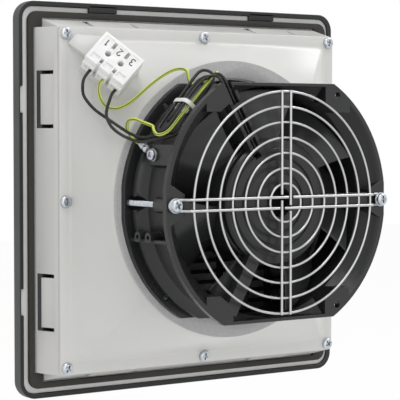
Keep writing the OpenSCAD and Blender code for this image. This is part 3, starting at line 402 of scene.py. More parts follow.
def lathe(profile, deep, steps, axis=None):  # (radius, height) pairs turned round an axis into the cabinet
    spin = axis or (lambda radius, degrees, height: turned(radius, degrees, deep + height))
    rings = [[spin(r, 360 * k / steps, h) for k in range(steps)] for r, h in profile]
    return loft(rings)


def evaluated(piece):  # the modifiers' result as a plain mesh
    graph = bpy.context.evaluated_depsgraph_get()
    return bpy.data.meshes.new_from_object(piece.evaluated_get(graph), preserve_all_data_layers=True, depsgraph=graph)


def settle(mesh, changes):  # puts modifiers on a mesh and returns what they make
    helper = bpy.data.objects.new("helper", mesh)
    scene.collection.objects.link(helper)
    for kind, settings in changes:
        change = helper.modifiers.new(kind.lower(), kind)
        for key, value in settings.items():
            setattr(change, key, value)
    result = evaluated(helper)
    bpy.data.objects.remove(helper)
    return result


def softened(width, angle=40, segments=2):
    return ("BEVEL", {"width": width, "segments": segments, "limit_method": "ANGLE",
                      "angle_limit": math.radians(angle), "harden_normals": False})


# A CAD node's own shape, with joined and rounded edges
def dressNode(node, name, bevel, cut=None):
    mesh = frame["nodes"][node].data.copy()
    mesh.name = name
    if "custom_normal" in mesh.attributes:
        mesh.attributes.remove(mesh.attributes["custom_normal"])
    rework(mesh, lambda work: weld(work, 2e-6), flatten)
    if cut:
        mesh = cutAway(mesh, cut)
    addPiece(name, settle(mesh, [softened(bevel)]), slotOf[node], bodyOf[node], [node])


# Leads: one smooth line each, out of the terminal block, through the hank and on
leads = {"radius": 1.0, "sides": 14, "gap": 0.7, "crease": 60}
hank = {"middle": (-58.5, 60.5, 85.0), "angle": 49.4}
liveStart = [(-96.9, 85.6, 40), (-99.8, 82.8, 40), (-102.2, 80.4, 40), (-104.5, 76.8, 39.9), (-105.1, 72.1, 39.6),
             (-103.9, 67.2, 38.8), (-101.4, 62.6, 40.2), (-98, 58.2, 42.4), (-94.6, 55, 45), (-91.2, 52, 48),
             (-87, 47.4, 54), (-83.6, 43.2, 61), (-80, 41, 68), (-76.6, 41.6, 75)]
neutralStart = [(-84.7, 73.3, 49.9), (-87.5, 70.5, 49.9), (-89.9, 68.1, 49.9), (-91.9, 64.4, 50.5),
                (-94.1, 59.3, 50.9), (-95, 54, 51.6), (-93.2, 47.9, 54), (-90, 43.5, 58), (-86.2, 40.4, 63),
                (-82.2, 38.3, 69), (-78.6, 38.9, 75.6)]
earthStart = [(-90.8, 79.5, 44.9), (-93.6, 76.6, 44.9), (-96, 74.2, 44.9), (-96.5, 69.3, 44.9), (-94.5, 63.6, 45),
              (-90, 59.6, 46), (-84.5, 59.4, 50), (-78.6, 63, 53.5), (-73, 68.3, 56.4), (-65.9, 74.5, 58.5),
              (-58.9, 79.7, 60.5), (-53.1, 83, 63), (-49, 83.9, 67.5), (-48.7, 81.9, 73)]
earthEnd = [(-76.6, 48, 75.4), (-79.2, 50.2, 69.6), (-81.6, 52.2, 63.6), (-83, 51.4, 58.6), (-83, 47.6, 56.4),
            (-81.4, 43.2, 56.4), (-80.4, 39.8, 59.4), (-79.2, 37.8, 62.8), (-78, 36.6, 65.6)]
motorEnd = [(-45.4, 78.2, 92.4), (-45, 79.4, 96), (-44, 78.8, 100.4), (-42, 75.4, 102.8), (-36, 64.6, 102.7),
            (-29.2, 52.6, 102.7), (-24, 43.2, 102.7), (-18.6, 33.4, 102.7), (-17.3, 31.2, 102), (-16.7, 30.1, 99)]
motorSide = Vector((1.02, 0.57, 0))
runs = {  # lanes in the hank: outwards and deep from its middle, where the lane starts and ends, and its fold
    "live": [((-4.3, 1.2), -17, 15, 16), ((0.2, -6.0), 15, -9, -10), ((4.3, 1.7), -9, 11, 0)],
    "neutral": [((-3.9, 4.0), -20, 21, 22.4), ((4.3, -4.0), 21, -19, -20), ((3.9, 4.5), -19, 9, 0)],
}
earthRun = {"from": (-0.6, 5.7), "to": (2.2, 6.0), "ends": (23, -21)}
turnings = {  # how a lead comes to its lanes or leaves them: along the hank, outwards and deep
    "live": [(17, 3.9, 2.3), (21, 2.7, 4.4)],
    "neutral": [(14.6, 3.6, 4.9), (18.8, 2.9, 5.7)],
    "earthIn": [(18.6, 3.2, -10.4), (18.4, -0.8, -9.2), (22.6, -4.2, -7.2), (28, -4.6, -3.0), (30.4, -3.2, 1.8),
                (28.2, -1.4, 5.0)],
    "earth": [(-25.4, 3.4, 4.9), (-27.2, 4.4, 1.4), (-26, 5.2, -2.6), (-23.4, 5.6, -6.4)],
}


def onHank(along, outward, deep):
    x, up, into = hank["middle"]
    turn = math.radians(hank["angle"])
    return (x + along * math.cos(turn) - outward * math.sin(turn),
            up + along * math.sin(turn) + outward * math.cos(turn), into + deep)


def runOf(lane, first, last, other=None, count=5):  # a run along the hank, in one lane or from it to another
    ends = [Vector((first, *lane)), Vector((last, *(other or lane)))]
    return [onHank(*ends[0].lerp(ends[1], k / (count - 1))) for k in range(count)]


def foldOf(lane, other, along, way, count=5):  # a half turn from one lane to the other, beyond a point along the hank
    reach = math.dist(lane, other) / 2
    points = []
    for k in range(1, count):
        angle = math.pi * k / count
        share = (1 - math.cos(angle)) / 2
        points.append(onHank(along + way * reach * math.sin(angle), lane[0] + (other[0] - lane[0]) * share,
                             lane[1] + (other[1] - lane[1]) * share))
    return points


def folded(lanes):  # a lead's runs, with a half turn from each lane to the next
    points = []
    for (lane, first, last, fold), after in zip(lanes, lanes[1:] + [None]):
        points += runOf(lane, first, last)
        if after:
            points += foldOf(lane, after[0], fold, math.copysign(1, fold))
    return points


def smoothLine(points, gap):  # a spline through the points, with one every gap millimetres or so
    knots = [Vector(p) for p in points]
    knots = [2 * knots[0] - knots[1]] + knots + [2 * knots[-1] - knots[-2]]
    line = []
    for a, b, c, d in zip(knots, knots[1:], knots[2:], knots[3:]):
        steps = max(2, round((c - b).length / gap))
        for k in range(steps):
            t = k / steps
            line.append(0.5 * (2 * b + (c - a) * t + (2 * a - 5 * b + 4 * c - d) * t * t
                               + (3 * b - a - 3 * c + d) * t * t * t))
    return line + [knots[-2]]


def tubeMesh(name, line, radius, sides):  # a closed tube with a UV map: round it, then along it
    points = [place(*p) for p in line]
    headings = [(points[min(i + 1, len(points) - 1)] - points[max(i - 1, 0)]).normalized() for i in range(len(points))]
    side = headings[0].orthogonal().normalized()
    rings = []
    for point, heading in zip(points, headings):
        side = (side - heading * side.dot(heading)).normalized()
        other = heading.cross(side)
        rings.append([point + radius * mm * (side * math.cos(2 * math.pi * k / sides)
                                             + other * math.sin(2 * math.pi * k / sides)) for k in range(sides)])
    mesh = plainMesh(name, *loft(rings, capped=True))
    layer = mesh.uv_layers.new(name="lead")
    for polygon in mesh.polygons:
        for loop in polygon.loop_indices:
            ring, k = divmod(mesh.loops[loop].vertex_index, sides)
            wrap = 1 if polygon.index % sides == sides - 1 and k == 0 else 0
            layer.data[loop].uv = (k / sides + wrap, ring / len(rings))
    return rework(mesh, faceOut)


def makeLead(name, points, slotName, standsFor):
    line = smoothLine(points, leads["gap"])
    tube = tubeMesh(name, line, leads["radius"], leads["sides"])
    piece = addPiece(name, tube, slotName, "housing", standsFor, leads["crease"])
    long = round(sum((b - a).length for a, b in zip(line, line[1:])) * mm, 4)
    place(*line[0])
    [place(*p) for p in line]
    print(name, "is", long, "m long")


def makeLeads():
    ways = {name: [onHank(*p) for p in points] for name, points in turnings.items()}
    ends = [[tuple(Vector(p) + way * motorSide) for p in motorEnd] for way in (1, -1)]
    live = liveStart + folded(runs["live"]) + ways["live"] + ends[0]
    neutral = neutralStart + folded(runs["neutral"]) + ways["neutral"] + ends[1]
    lane = runOf(earthRun["from"], *earthRun["ends"], earthRun["to"])
    earth = earthStart + ways["earthIn"] + lane + ways["earth"] + earthEnd
    makeLead("leadLive", live, "lead_black", ["lead_live", "motor_leads", "lead_hank"])
    makeLead("leadNeutral", neutral, "lead_black", ["lead_neutral"])
    makeLead("leadEarth", earth, "lead_earth", ["lead_earth", "earth_tail"])


makeLeads()


# Pale hood, drawn from the square rim to the round seat
hood = {"rim": 111.0, "rimCorner": 3.0, "rimBack": 18.8, "rimFace": 21.3, "foot": 103.0, "footCorner": 2.2,
        "seat": 52.8, "top": 90.5, "inlet": 78.0, "wall": 2.5, "steps": 12, "innerSteps": 7,
        "fillet": ((1.8, 0.0), (0.95, 0.12), (0.4, 0.5), (0.1, 1.1))}  # outwards from the foot, and up its wall


def squareReach(half, corner, degrees):  # how far a rounded square reaches in a direction
    c = abs(math.cos(math.radians(degrees)))
    s = abs(math.sin(math.radians(degrees)))
    reach = half / max(c, s)
    k = half - corner
    if min(c, s) * reach > k:
        reach = k * (c + s) + math.sqrt(max(0.0, (k * (c + s)) ** 2 - 2 * k * k + corner * corner))
    return reach


def hoodAngles():
    near = [0.0, 0.3, 0.6, 0.9, 1.3, 1.8, 2.5, 3.5, 5, 7, 10, 13.5, 17.5, 22, 27, 32, 38.5, 45]
    quarter = [45 - a for a in reversed(near)] + [45 + a for a in near[1:-1]]
    return [90 * q + a for q in range(4) for a in quarter]


def hoodRing(half, corner, radius, share, deep):
    return [turned(squareReach(half, corner, a) * (1 - share) + radius * share, a, deep) for a in hoodAngles()]


def wallRing(out, radius, lift):  # a ring of the sloping wall, so far outwards and above the rim
    h = hood
    share = lift / (h["seat"] - h["rimFace"])
    return hoodRing(h["foot"] + out, h["footCorner"], radius, share, h["rimFace"] + lift)


def makeHood():
    h = hood
    tall = h["seat"] - h["rimFace"]
    rings = [hoodRing(h["rim"] - inset, h["rimCorner"], 0, 0, deep) for inset, deep in
             ((0.4, h["rimBack"]), (0, h["rimBack"] + 0.4), (0, h["rimFace"] - 0.5), (0.15, h["rimFace"] - 0.15),
              (0.5, h["rimFace"]))]
    rings += [wallRing(out, h["top"], lift) for out, lift in h["fillet"]]
    rings += [wallRing(0, h["top"], 2.0 + (tall - 3.2) * k / h["steps"]) for k in range(h["steps"] + 1)]
    for radius, deep in ((h["top"] - 0.05, h["seat"] - 0.6), (h["top"] - 0.25, h["seat"] - 0.2),
                         (h["top"] - 0.7, h["seat"]), (h["inlet"] + 0.5, h["seat"]), (h["inlet"], h["seat"] - 0.5),
                         (h["inlet"], h["seat"] - h["wall"]), (h["top"] - 1.6, h["seat"] - h["wall"])):
        rings.append(hoodRing(0, 0, radius, 1, deep))
    for k in range(h["innerSteps"] + 1):
        lift = (tall - h["wall"] - 0.4) * (1 - k / h["innerSteps"])
        rings.append(wallRing(-h["wall"], h["top"] - h["wall"], lift))
    rings.append(hoodRing(h["foot"] - h["wall"], h["footCorner"], 0, 0, h["rimBack"]))
    addPiece("hood", meshOf("hood", *loft(rings, looped=True)), "pale_plastic", "housing", ["fan_hood"], 28)


# Frame of the terminal block: along the hood's hip, across it and off it
hip = {"low": (-103.0, 103.0, 21.3), "high": (-63.99, 63.99, 52.8), "share": 0.5}


def onHip(along, across, off):
    low = Vector(hip["low"])
    high = Vector(hip["high"])
    way = (high - low).normalized()
    cross = Vector((math.sqrt(0.5), math.sqrt(0.5), 0))
    spot = low + (high - low) * hip["share"] + way * along + cross * across + way.cross(cross) * off
    return place(*spot)


def boxMesh(name, lows, highs, bevel, to=place):  # a bevelled box between two corners
    xs, ys, zs = zip(lows, highs)
    corners = [to(x, y, z) for x in xs for y in ys for z in zs]
    faces = [(0, 1, 3, 2), (4, 6, 7, 5), (0, 4, 5, 1), (2, 3, 7, 6), (0, 2, 6, 4), (1, 5, 7, 3)]
    return settle(meshOf(name, corners, faces), [softened(bevel * mm, 30, 3)])


def cutAway(mesh, tool):  # what is left of a mesh once a tool's shape is cut from it
    cutter = bpy.data.objects.new("cutter", tool)
    scene.collection.objects.link(cutter)
    result = settle(mesh, [("BOOLEAN", {"object": cutter, "operation": "DIFFERENCE", "solver": "EXACT"})])
    bpy.data.objects.remove(cutter)
    return result


def joined(name, meshes):
    work = bmesh.new()
    for mesh in meshes:
        work.from_mesh(mesh)
    result = bpy.data.meshes.new(name)
    work.to_mesh(result)
    work.free()
    return result


# Terminal block: the hood's seat and ramp for it, and a number at each pole
terminal = {"seat": ((-15, -12, -6), (15, 11.5, 3)), "ramp": ((-31.4, -3.6, 4.6, 1.3), (-14.6, -4.0, 15.4, 3.6)),
            "root": -5, "soft": 0.6, "plate": 17.6, "pitch": 10.0, "stroke": 0.62, "proud": 0.12, "base": 7.9}
digits = [[(-0.8, 3.6), (0.2, 4.6), (0.2, 0)],
          [(-1.2, 3.4), (-0.9, 4.2), (0, 4.6), (0.9, 4.2), (1.2, 3.4), (0.8, 2.5), (-1.2, 0), (1.3, 0)],
          [(-1.2, 4.1), (-0.3, 4.6), (0.7, 4.4), (1.1, 3.6), (0.8, 2.8), (0, 2.4), (0.9, 2), (1.2, 1.1), (0.7, 0.2),
           (-0.3, 0), (-1.2, 0.6)]]


def strokeMesh(points, pole):  # a pen stroke on a pole's plate, upside down to the camera as such blocks are
    t = terminal
    flat = [Vector(p) for p in points]
    rings = []
    for k, p in enumerate(flat):
        way = (flat[min(k + 1, len(flat) - 1)] - flat[max(k - 1, 0)]).normalized()
        side = Vector((-way.y, way.x)) * t["stroke"] / 2
        rings.append([onHip(pole * t["pitch"] - q.x, t["base"] - q.y, t["plate"] + off)
                      for q, off in ((p + side, 0), (p + side, t["proud"]), (p - side, t["proud"]), (p - side, 0))])
    return meshOf("stroke", *loft(rings, capped=True))


def makeTerminal():
    t = terminal
    low, high = t["seat"]
    root = t["root"]
    seat = boxMesh("seat", low, high, t["soft"], onHip)
    ends = [[onHip(along, first, root), onHip(along, last, root), onHip(along, last, off), onHip(along, first, off)]
            for along, first, last, off in t["ramp"]]
    ramp = settle(meshOf("ramp", *loft(ends, capped=True)), [softened(t["soft"] * mm, 20, 3)])
    addPiece("terminalSeat", joined("terminalSeat", [seat, ramp]), "pale_plastic", "housing")
    dressNode("terminal_block", "terminalBlock", 0.00035)
    marks = [strokeMesh(points, pole) for pole, points in zip((-1, 0, 1), digits)]
    addPiece("terminalNumbers", joined("terminalNumbers", marks), "lead_black", "housing")


# Louvred cover: a rounded shell with its field of slats
cover = {"half": 128.0, "corner": 11.5, "edge": 5.0, "face": -12.5, "rear": -1.0, "wall": 2.9, "thick": 2.2,
         "field": 102.0, "collar": 104.0, "back": -4.5, "slats": 17, "first": -100.0, "rise": 190.4, "drop": 8.0,
         "slat": 1.6, "soft": 0.3, "lip": 0.4, "steps": 12, "ribs": (-51, 0, 51), "rib": (1, 2), "catch": 65.0,
         "notch": (121.3, 127.1, 8.7, -5.9, 2), "tab": (10.5, 121.9, 126.5, -5.5)}


def cornerTurns(steps):  # the signs and the angle of each point round four rounded corners
    for quarter in range(4):
        for k in range(steps + 1):
            yield (1 if quarter in (0, 3) else -1, 1 if quarter < 2 else -1, math.radians(90 * (quarter + k / steps)))


def squareRing(half, corner, deep):
    flat = half - corner
    return [place(sx * flat + corner * math.cos(angle), sy * flat + corner * math.sin(angle), deep)
            for sx, sy, angle in cornerTurns(cover["steps"])]


def geometryTree(name, inputs):  # a geometry tree and its named inputs
    tree = bpy.data.node_groups.new(name, "GeometryNodeTree")
    for title, kind in {"Geometry": "Geometry", **inputs}.items():
        tree.interface.new_socket(title, in_out="INPUT", socket_type="NodeSocket" + kind)
    tree.interface.new_socket("Geometry", in_out="OUTPUT", socket_type="NodeSocketGeometry")
    start = tree.nodes.new("NodeGroupInput")
    return tree, {socket.name: Wire(tree, socket) for socket in start.outputs if socket.name}


def closeTree(tree, shape, material):
    real = shape.make("GeometryNodeRealizeInstances", {}, {0: shape})
    plain = shape.make("GeometryNodeSetMaterial", {}, {"Geometry": real, "Material": material})
    end = tree.nodes.new("NodeGroupOutput")
    tree.links.new(plain.socket, end.inputs[0])


def grow(name, tree, values, base=None):  # runs a geometry tree on a mesh and returns what it makes
    helper = bpy.data.objects.new(name, base or bpy.data.meshes.new(name))
    scene.collection.objects.link(helper)
    change = helper.modifiers.new("tree", "NODES")
    change.node_group = tree
    names = {item.name: item.identifier for item in tree.interface.items_tree if item.in_out == "INPUT"}
    for title, value in values.items():
        change[names[title]] = value
    helper.update_tag()
    result = evaluated(helper)
    bpy.data.objects.remove(helper)
    return result


def slatTree():
    tree, at = geometryTree("slatRow", {"Count": "Int", "Step": "Float", "Material": "Material"})
    count = at["Count"]
    offset = count.make("ShaderNodeCombineXYZ", {}, {2: at["Step"]})
    row = count.make("GeometryNodeMeshLine", {}, {"Count": count, "Offset": offset})
    many = count.make("GeometryNodeInstanceOnPoints", {}, {"Points": row, "Instance": at["Geometry"]})
    closeTree(tree, many, at["Material"])
    return tree


def makeCover():
    c = cover
    soft = c["soft"]
    inner = c["half"] - c["wall"]
    corner = c["corner"] - c["wall"]
    floor = c["face"] + c["thick"]
    front = c["face"] + c["lip"]
    section = [(c["half"] - soft, c["corner"] - soft, c["rear"]), (c["half"], c["corner"], c["rear"] - soft)]
    for k in range(9):
        angle = math.radians(90 * k / 8)
        inset = c["edge"] * (1 - math.cos(angle))
        section.append((c["half"] - inset, c["corner"] - inset, c["face"] + c["edge"] * (1 - math.sin(angle))))
    section += [(c["field"] + c["lip"], 1 + c["lip"], c["face"]), (c["field"], 1, front), (c["field"], 1, c["back"]),
                (c["collar"], 2, c["back"]), (c["collar"], 2, floor), (inner - 2, corner - 2, floor),
                (inner, corner, floor + 2), (inner, corner, c["rear"] - soft),
                (inner + soft, corner + soft, c["rear"])]
    rings = [squareRing(*ring) for ring in section]
    near, far, half, low, high = c["notch"]
    boxes = [boxMesh("notch", (min(s * near, s * far), y - half, low), (max(s * near, s * far), y + half, high), 0.25)
             for s in (-1, 1) for y in (-c["catch"], c["catch"])]
    shell = cutAway(meshOf("coverShell", *loft(rings, looped=True)), joined("notches", boxes))
    addPiece("coverShell", shell, "cover_plastic", "cover", ["front_cover"], 40)
    low = c["first"]
    reach = c["field"] + 1
    ends = [[place(x, low, front), place(x, low + c["slat"], front), place(x, low + c["drop"] + c["slat"], c["back"]),
             place(x, low + c["drop"], c["back"])] for x in (-reach, reach)]
    slat = settle(meshOf("slat", *loft(ends, capped=True)), [softened(0.0005, 30, 3)])
    values = {"Count": c["slats"], "Step": c["rise"] * mm / (c["slats"] - 1), "Material": finish["cover_plastic"]}
    addPiece("coverSlats", grow("coverSlats", slatTree(), values, slat), "cover_plastic", "cover")
    half, inset = c["rib"]
    bars = [boxMesh("rib", (x - half, -reach, front + inset), (x + half, reach, c["back"]), soft) for x in c["ribs"]]
    half, low, high, start = c["tab"]
    bars += [boxMesh("tab", (x - half, low, start), (x + half, high, c["rear"]), soft)
             for x in (-c["catch"], c["catch"])]
    addPiece("coverRibs", joined("coverRibs", bars), "cover_plastic", "cover")


# Screws with a cross recess, set out by a geometry tree
screws = {
    "hood": {"head": 3.9, "tall": 2.2, "shank": 1.5, "long": 2.0, "thread": 0, "corner": 106.5, "side": 107,
             "deep": 21.3},
    "guard": {"head": 4.0, "tall": 2.6, "shank": 1.95, "long": 51.0, "thread": 0.9, "out": 81, "deep": 108.1},
    "fan": {"head": 4.0, "tall": 2.6, "shank": 1.95, "long": 7.6, "thread": 0.9, "out": 82, "deep": 50.3,
            "angles": (48, 132, 228, 312)},
    "earth": {"head": 3.6, "tall": 2.6, "shank": 1.95, "long": 6.0, "thread": 0, "spot": (-77.6, 30.2, 77),
              "turn": 0.6},
}


def screwMesh(name, size):
    r = size["head"]
    h = size["tall"]
    thread = size["thread"]
    profile = [(0.0, -size["long"]), (size["shank"] * 0.7, -size["long"])]
    if thread:
        turns = int(size["long"] / thread)
        for k in range(turns):
            base = -size["long"] + thread * (k + 0.5)
            profile += [(size["shank"] * 0.84, base), (size["shank"], base + thread * 0.5)]
    else:
        profile += [(size["shank"], -size["long"] + 0.5)]
    profile += [(size["shank"], -0.2), (size["shank"], 0.0), (r - 0.15, 0.0), (r, 0.15), (r, h * 0.42)]
    for k in range(1, 9):
        angle = math.radians(90 * k / 8)
        profile.append((r * (0.56 + 0.44 * math.cos(angle)), h * (0.42 + 0.58 * math.sin(angle))))
    profile.append((0.0, h))
    body = meshOf(name, *lathe(profile, 0, 40))
    arm = r * 0.62
    half = r * 0.17
    deep = h * 0.75
    outline = [(half, arm), (-half, arm), (-half, half * 1.2), (-half * 1.2, half)]
    for k in range(12):  # the other three arms, a quarter turn each
        x, y = outline[k]
        outline.append((-y, x))
    rings = [[place(x * s, y * s, d) for x, y in outline] for s, d in ((0.55, h - deep), (1.06, h + 0.3))]
    return cutAway(body, meshOf("recess", *loft(rings, capped=True)))


def spotTree():
    tree, at = geometryTree("setOut", {"Piece": "Object", "Material": "Material"})
    start = at["Geometry"]
    source = start.make("GeometryNodeObjectInfo", {}, {"Object": at["Piece"]}, 4)
    turn = start.make("GeometryNodeInputNamedAttribute", {"data_type": "FLOAT_VECTOR"}, {"Name": "turn"})
    many = start.make("GeometryNodeInstanceOnPoints", {}, {"Points": start, "Instance": source, "Rotation": turn})
    closeTree(tree, many, at["Material"])
    return tree


def setOut(name, mesh, spots, slotName, body, standsFor):  # copies of a mesh at (point, turn) spots
    source = bpy.data.objects.new("source", mesh)
    scene.collection.objects.link(source)
    points = bpy.data.meshes.new(name)
    points.from_pydata([tuple(p) for p, _ in spots], [], [])
    turns = points.attributes.new("turn", "FLOAT_VECTOR", "POINT")
    for k, (_, turn) in enumerate(spots):
        turns.data[k].vector = turn
    result = grow(name, spotTree(), {"Piece": source, "Material": finish[slotName]}, points)
    bpy.data.objects.remove(source)
    addPiece(name, result, slotName, body, standsFor, 35)


def driveIn(name, kind, spots, node):  # screws of one kind, each with its recess turned another way
    setOut(name, screwMesh(kind + "Screw", screws[kind]), spots, "zinc_steel", "housing", [node])


def makeScrews():
    s = screws["hood"]
    spots = [(place(x * s["corner"], y * s["corner"], s["deep"]), (0, 0.4 + x + 2 * y, 0))
             for x in (-1, 1) for y in (-1, 1)]
    spots += [(place(x * s["side"], y * s["side"], s["deep"]), (0, 0.9 * k, 0))
              for k, (x, y) in enumerate(((-1, 0), (1, 0), (0, -1), (0, 1)))]
    driveIn("hoodScrews", "hood", spots, "hood_screws")
    s = screws["guard"]
    spots = [(place(x * s["out"], 0, s["deep"]), (0, 0.5 + x, 0)) for x in (-1, 1)]
    driveIn("guardScrews", "guard", spots, "guard_screws")
    s = screws["fan"]
    driveIn("fanScrews", "fan", [(turned(s["out"], a, s["deep"]), (math.pi, a, 0)) for a in s["angles"]], "fan_screws")
    s = screws["earth"]
    turn = Matrix.Rotation(math.radians(-90), 3, "Z") @ Matrix.Rotation(s["turn"], 3, "Y")
    driveIn("earthScrew", "earth", [(place(*s["spot"]), tuple(turn.to_euler()))], "earth_screw")


# Finger guard: rings by a geometry tree, spokes bent from wire
guard = {"rings": 7, "first": 12.0, "step": 9.6, "wire": 0.82, "spoke": 0.92, "sides": 14, "start": (-1.5, 5.2),
         "deep": 110.4, "spokeDeep": 111.3, "loopDeep": 106.3, "half": 3.4, "edge": 69.6, "past": 1.6, "foot": 75.6,
         "screw": 81.0, "bend": 3.0, "tail": 0.8}


def ringTree():
    tree, at = geometryTree("wireRings", {"Rings": "Int", "First": "Float", "Step": "Float", "Wire": "Float",
                                          "Material": "Material"})
    rings = at["Rings"]
    row = rings.make("GeometryNodeMeshLine", {}, {"Count": rings, "Offset": (0, 0, 0)})
    index = rings.make("GeometryNodeInputIndex")
    radius = index * at["Step"] + at["First"]
    size = rings.make("ShaderNodeCombineXYZ", {}, {0: radius, 1: radius, 2: radius})
    circle = rings.make("GeometryNodeCurvePrimitiveCircle", {}, {"Resolution": 144, "Radius": 1.0})
    many = rings.make("GeometryNodeInstanceOnPoints", {}, {"Points": row, "Instance": circle, "Scale": size})
    real = rings.make("GeometryNodeRealizeInstances", {}, {0: many})
    wire = rings.make("GeometryNodeCurvePrimitiveCircle", {}, {"Resolution": guard["sides"], "Radius": at["Wire"]})
    swept = rings.make("GeometryNodeCurveToMesh", {}, {"Curve": real, "Profile Curve": wire})
    stood = rings.make("GeometryNodeTransform", {}, {"Geometry": swept, "Rotation": (math.pi / 2, 0, 0),
                                                    "Translation": place(0, 0, guard["deep"])})
    closeTree(tree, stood, at["Material"])
    return tree


def bent(corners, radius, steps=8):  # a line with its corners rounded
    line = [Vector(corners[0])]
    for a, b, c in zip(corners, corners[1:], corners[2:]):
        a, b, c = Vector(a), Vector(b), Vector(c)
        back = (a - b).normalized()
        on = (c - b).normalized()
        angle = back.angle(on)
        reach = min(radius / math.tan(angle / 2), (a - b).length * 0.49, (c - b).length * 0.49)
        for k in range(steps + 1):
            t = k / steps
            line.append((b + back * reach) * (1 - t) ** 2 + b * 2 * t * (1 - t) + (b + on * reach) * t * t)
    return line + [Vector(corners[-1])]


def spokeLine(side, start, across):  # a level spoke, from near the middle out and down to its fixing loop
    g = guard
    return bent([(side * start, across, g["spokeDeep"]), (side * (g["edge"] + g["past"]), across, g["spokeDeep"]),
                 (side * g["foot"], across, g["loopDeep"]), (side * g["screw"], across, g["loopDeep"])], g["bend"])


def makeGuard():
    g = guard
    first, second = g["start"]
    values = {"Rings": g["rings"], "First": g["first"] * mm, "Step": g["step"] * mm, "Wire": g["wire"] * mm,
              "Material": finish["guard_wire"]}
    addPiece("guardRings", grow("guardRings", ringTree(), values), "guard_wire", "housing", ["finger_guard"], 60)
    tubes = []
    for side in (-1, 1):
        arc = [Vector((side * (g["screw"] + g["half"] * math.sin(t)), -side * g["half"] * math.cos(t), g["loopDeep"]))
               for t in (math.pi * k / 14 for k in range(1, 14))]
        line = spokeLine(side, first, -side * g["half"]) + arc + spokeLine(side, second, side * g["half"])[::-1]
        tubes.append(tubeMesh("spoke", line, g["spoke"], g["sides"]))
    for side in (-1, 1):
        for turn, start in zip((1, -1), g["start"]):
            x = side * turn * g["half"]
            reach = g["edge"] + g["tail"] - start
            line = [(x, side * (start + reach * k / 20), g["spokeDeep"]) for k in range(21)]
            tubes.append(tubeMesh("spoke", line, g["spoke"], g["sides"]))
    addPiece("guardSpokes", joined("guardSpokes", tubes), "guard_wire", "housing", (), 50)


# Impeller: one fine blade repeated by a geometry tree, and its ring
impeller = {"blades": 7, "rear": 63.2, "depth": 31.0, "rest": 80.0, "sweep": 46.0, "ring": 40.0, "tip": 71.5,
            "thick": 1.8, "inner": 37.55, "lean": 6.0, "belly": 0.1, "root": 0.8, "hem": (1.5, 1.8)}


def bladePoint(r, u, side):
    b = impeller
    deep = b["rear"] + b["depth"] * (u + b["belly"] * math.sin(math.pi * u))
    angle = b["rest"] + b["sweep"] * (1 - u) - b["lean"] * (r - b["ring"]) / (b["tip"] - b["ring"])
    edge = min(1.0, math.sqrt(max(0.0, 1 - (2 * u - 1) ** 10)) + 0.02)
    thick = b["thick"] * (0.35 + 0.65 * math.sin(math.pi * min(1, u + 0.12))) * edge
    return turned(r, angle, deep + side * thick)


def makeImpeller():
    b = impeller
    marks = [0.0, 0.006, 0.018, 0.04, 0.07] + [0.1 + 0.8 * k / 16 for k in range(17)] + [0.93, 0.96, 0.982, 0.994, 1.0]
    radii = [b["ring"] - b["root"] + (b["tip"] - b["ring"] + b["root"]) * k / 14 for k in range(15)]
    rings = [[bladePoint(r, u, 0.5) for u in marks] + [bladePoint(r, u, -0.5) for u in reversed(marks)] for r in radii]
    blade = meshOf("blade", *loft(rings, capped=True))
    spots = [(Vector((0, 0, 0)), (0, -2 * math.pi * k / b["blades"], 0)) for k in range(b["blades"])]
    setOut("impellerBlades", blade, spots, "impeller_black", "impeller", ["impeller"])
    low = b["rear"] - b["hem"][0]
    high = b["rear"] + b["depth"] + b["hem"][1]
    profile = [(b["inner"], low + 0.3), (b["inner"] + 0.4, low), (b["ring"] - 0.6, low), (b["ring"], low + 0.6),
               (b["ring"], high - 0.8), (b["ring"] - 0.8, high), (b["inner"] + 0.4, high), (b["inner"], high - 0.3),
               (b["inner"], low + 0.3)]
    addPiece("impellerRing", meshOf("impellerRing", *lathe(profile, 0, 120)), "impeller_black", "impeller")


# Rubber plug that closes the bearing's bore in the motor base
plug = {"radius": 9.55, "deep": 98.4, "thick": 1.8, "lip": 1.4, "dish": 0.5}


def makePlug():
    p = plug
    r = p["radius"]
    profile = [(0.0, -p["thick"]), (r, -p["thick"]), (r, -0.4), (r - 0.15, -0.1), (r - 0.4, 0.0), (r - p["lip"], 0.0),
               (r - p["lip"] - 0.5, -p["dish"]), (0.0, -p["dish"])]
    piece = addPiece("bearingPlug", meshOf("bearingPlug", *lathe(profile, p["deep"], 64)), "fan_black", "housing")
    piece.data.materials[0] = plainFinish("plugRubber", 500, grey(0.003), grey(0.006), (0.6, 0.2), 0.08, (0.1, 0.0001))


# Crimped barrel of the ring terminal: two pressed bands and a flared end
crimp = {"screw": (-78.0, 30.2, 77.0), "angle": 150.6, "profile": [
    (1.2, 5.0), (1.95, 5.3), (2.0, 6.0), (2.42, 6.3), (2.5, 6.8), (2.5, 7.7), (2.42, 8.2), (1.9, 8.6), (1.78, 9.2),
    (1.9, 9.8), (2.42, 10.1), (2.5, 10.6), (2.5, 11.5), (2.42, 12.0), (1.98, 12.3), (2.0, 12.7), (2.3, 13.1),
    (2.2, 13.2), (1.05, 13.0)]}


def onBarrel(radius, degrees, along):
    x, up, deep = crimp["screw"]
    turn = math.radians(crimp["angle"])
    spin = math.radians(degrees)
    lean = radius * math.sin(spin)
    return place(x + radius * math.cos(spin), up + along * math.sin(turn) + lean * math.cos(turn),
                 deep + along * math.cos(turn) - lean * math.sin(turn))


def makeCrimp():
    mesh = meshOf("crimp", *lathe(crimp["profile"], 0, 28, onBarrel))
    addPiece("crimpBarrel", mesh, slotOf["ring_terminal"], "housing", (), 40)


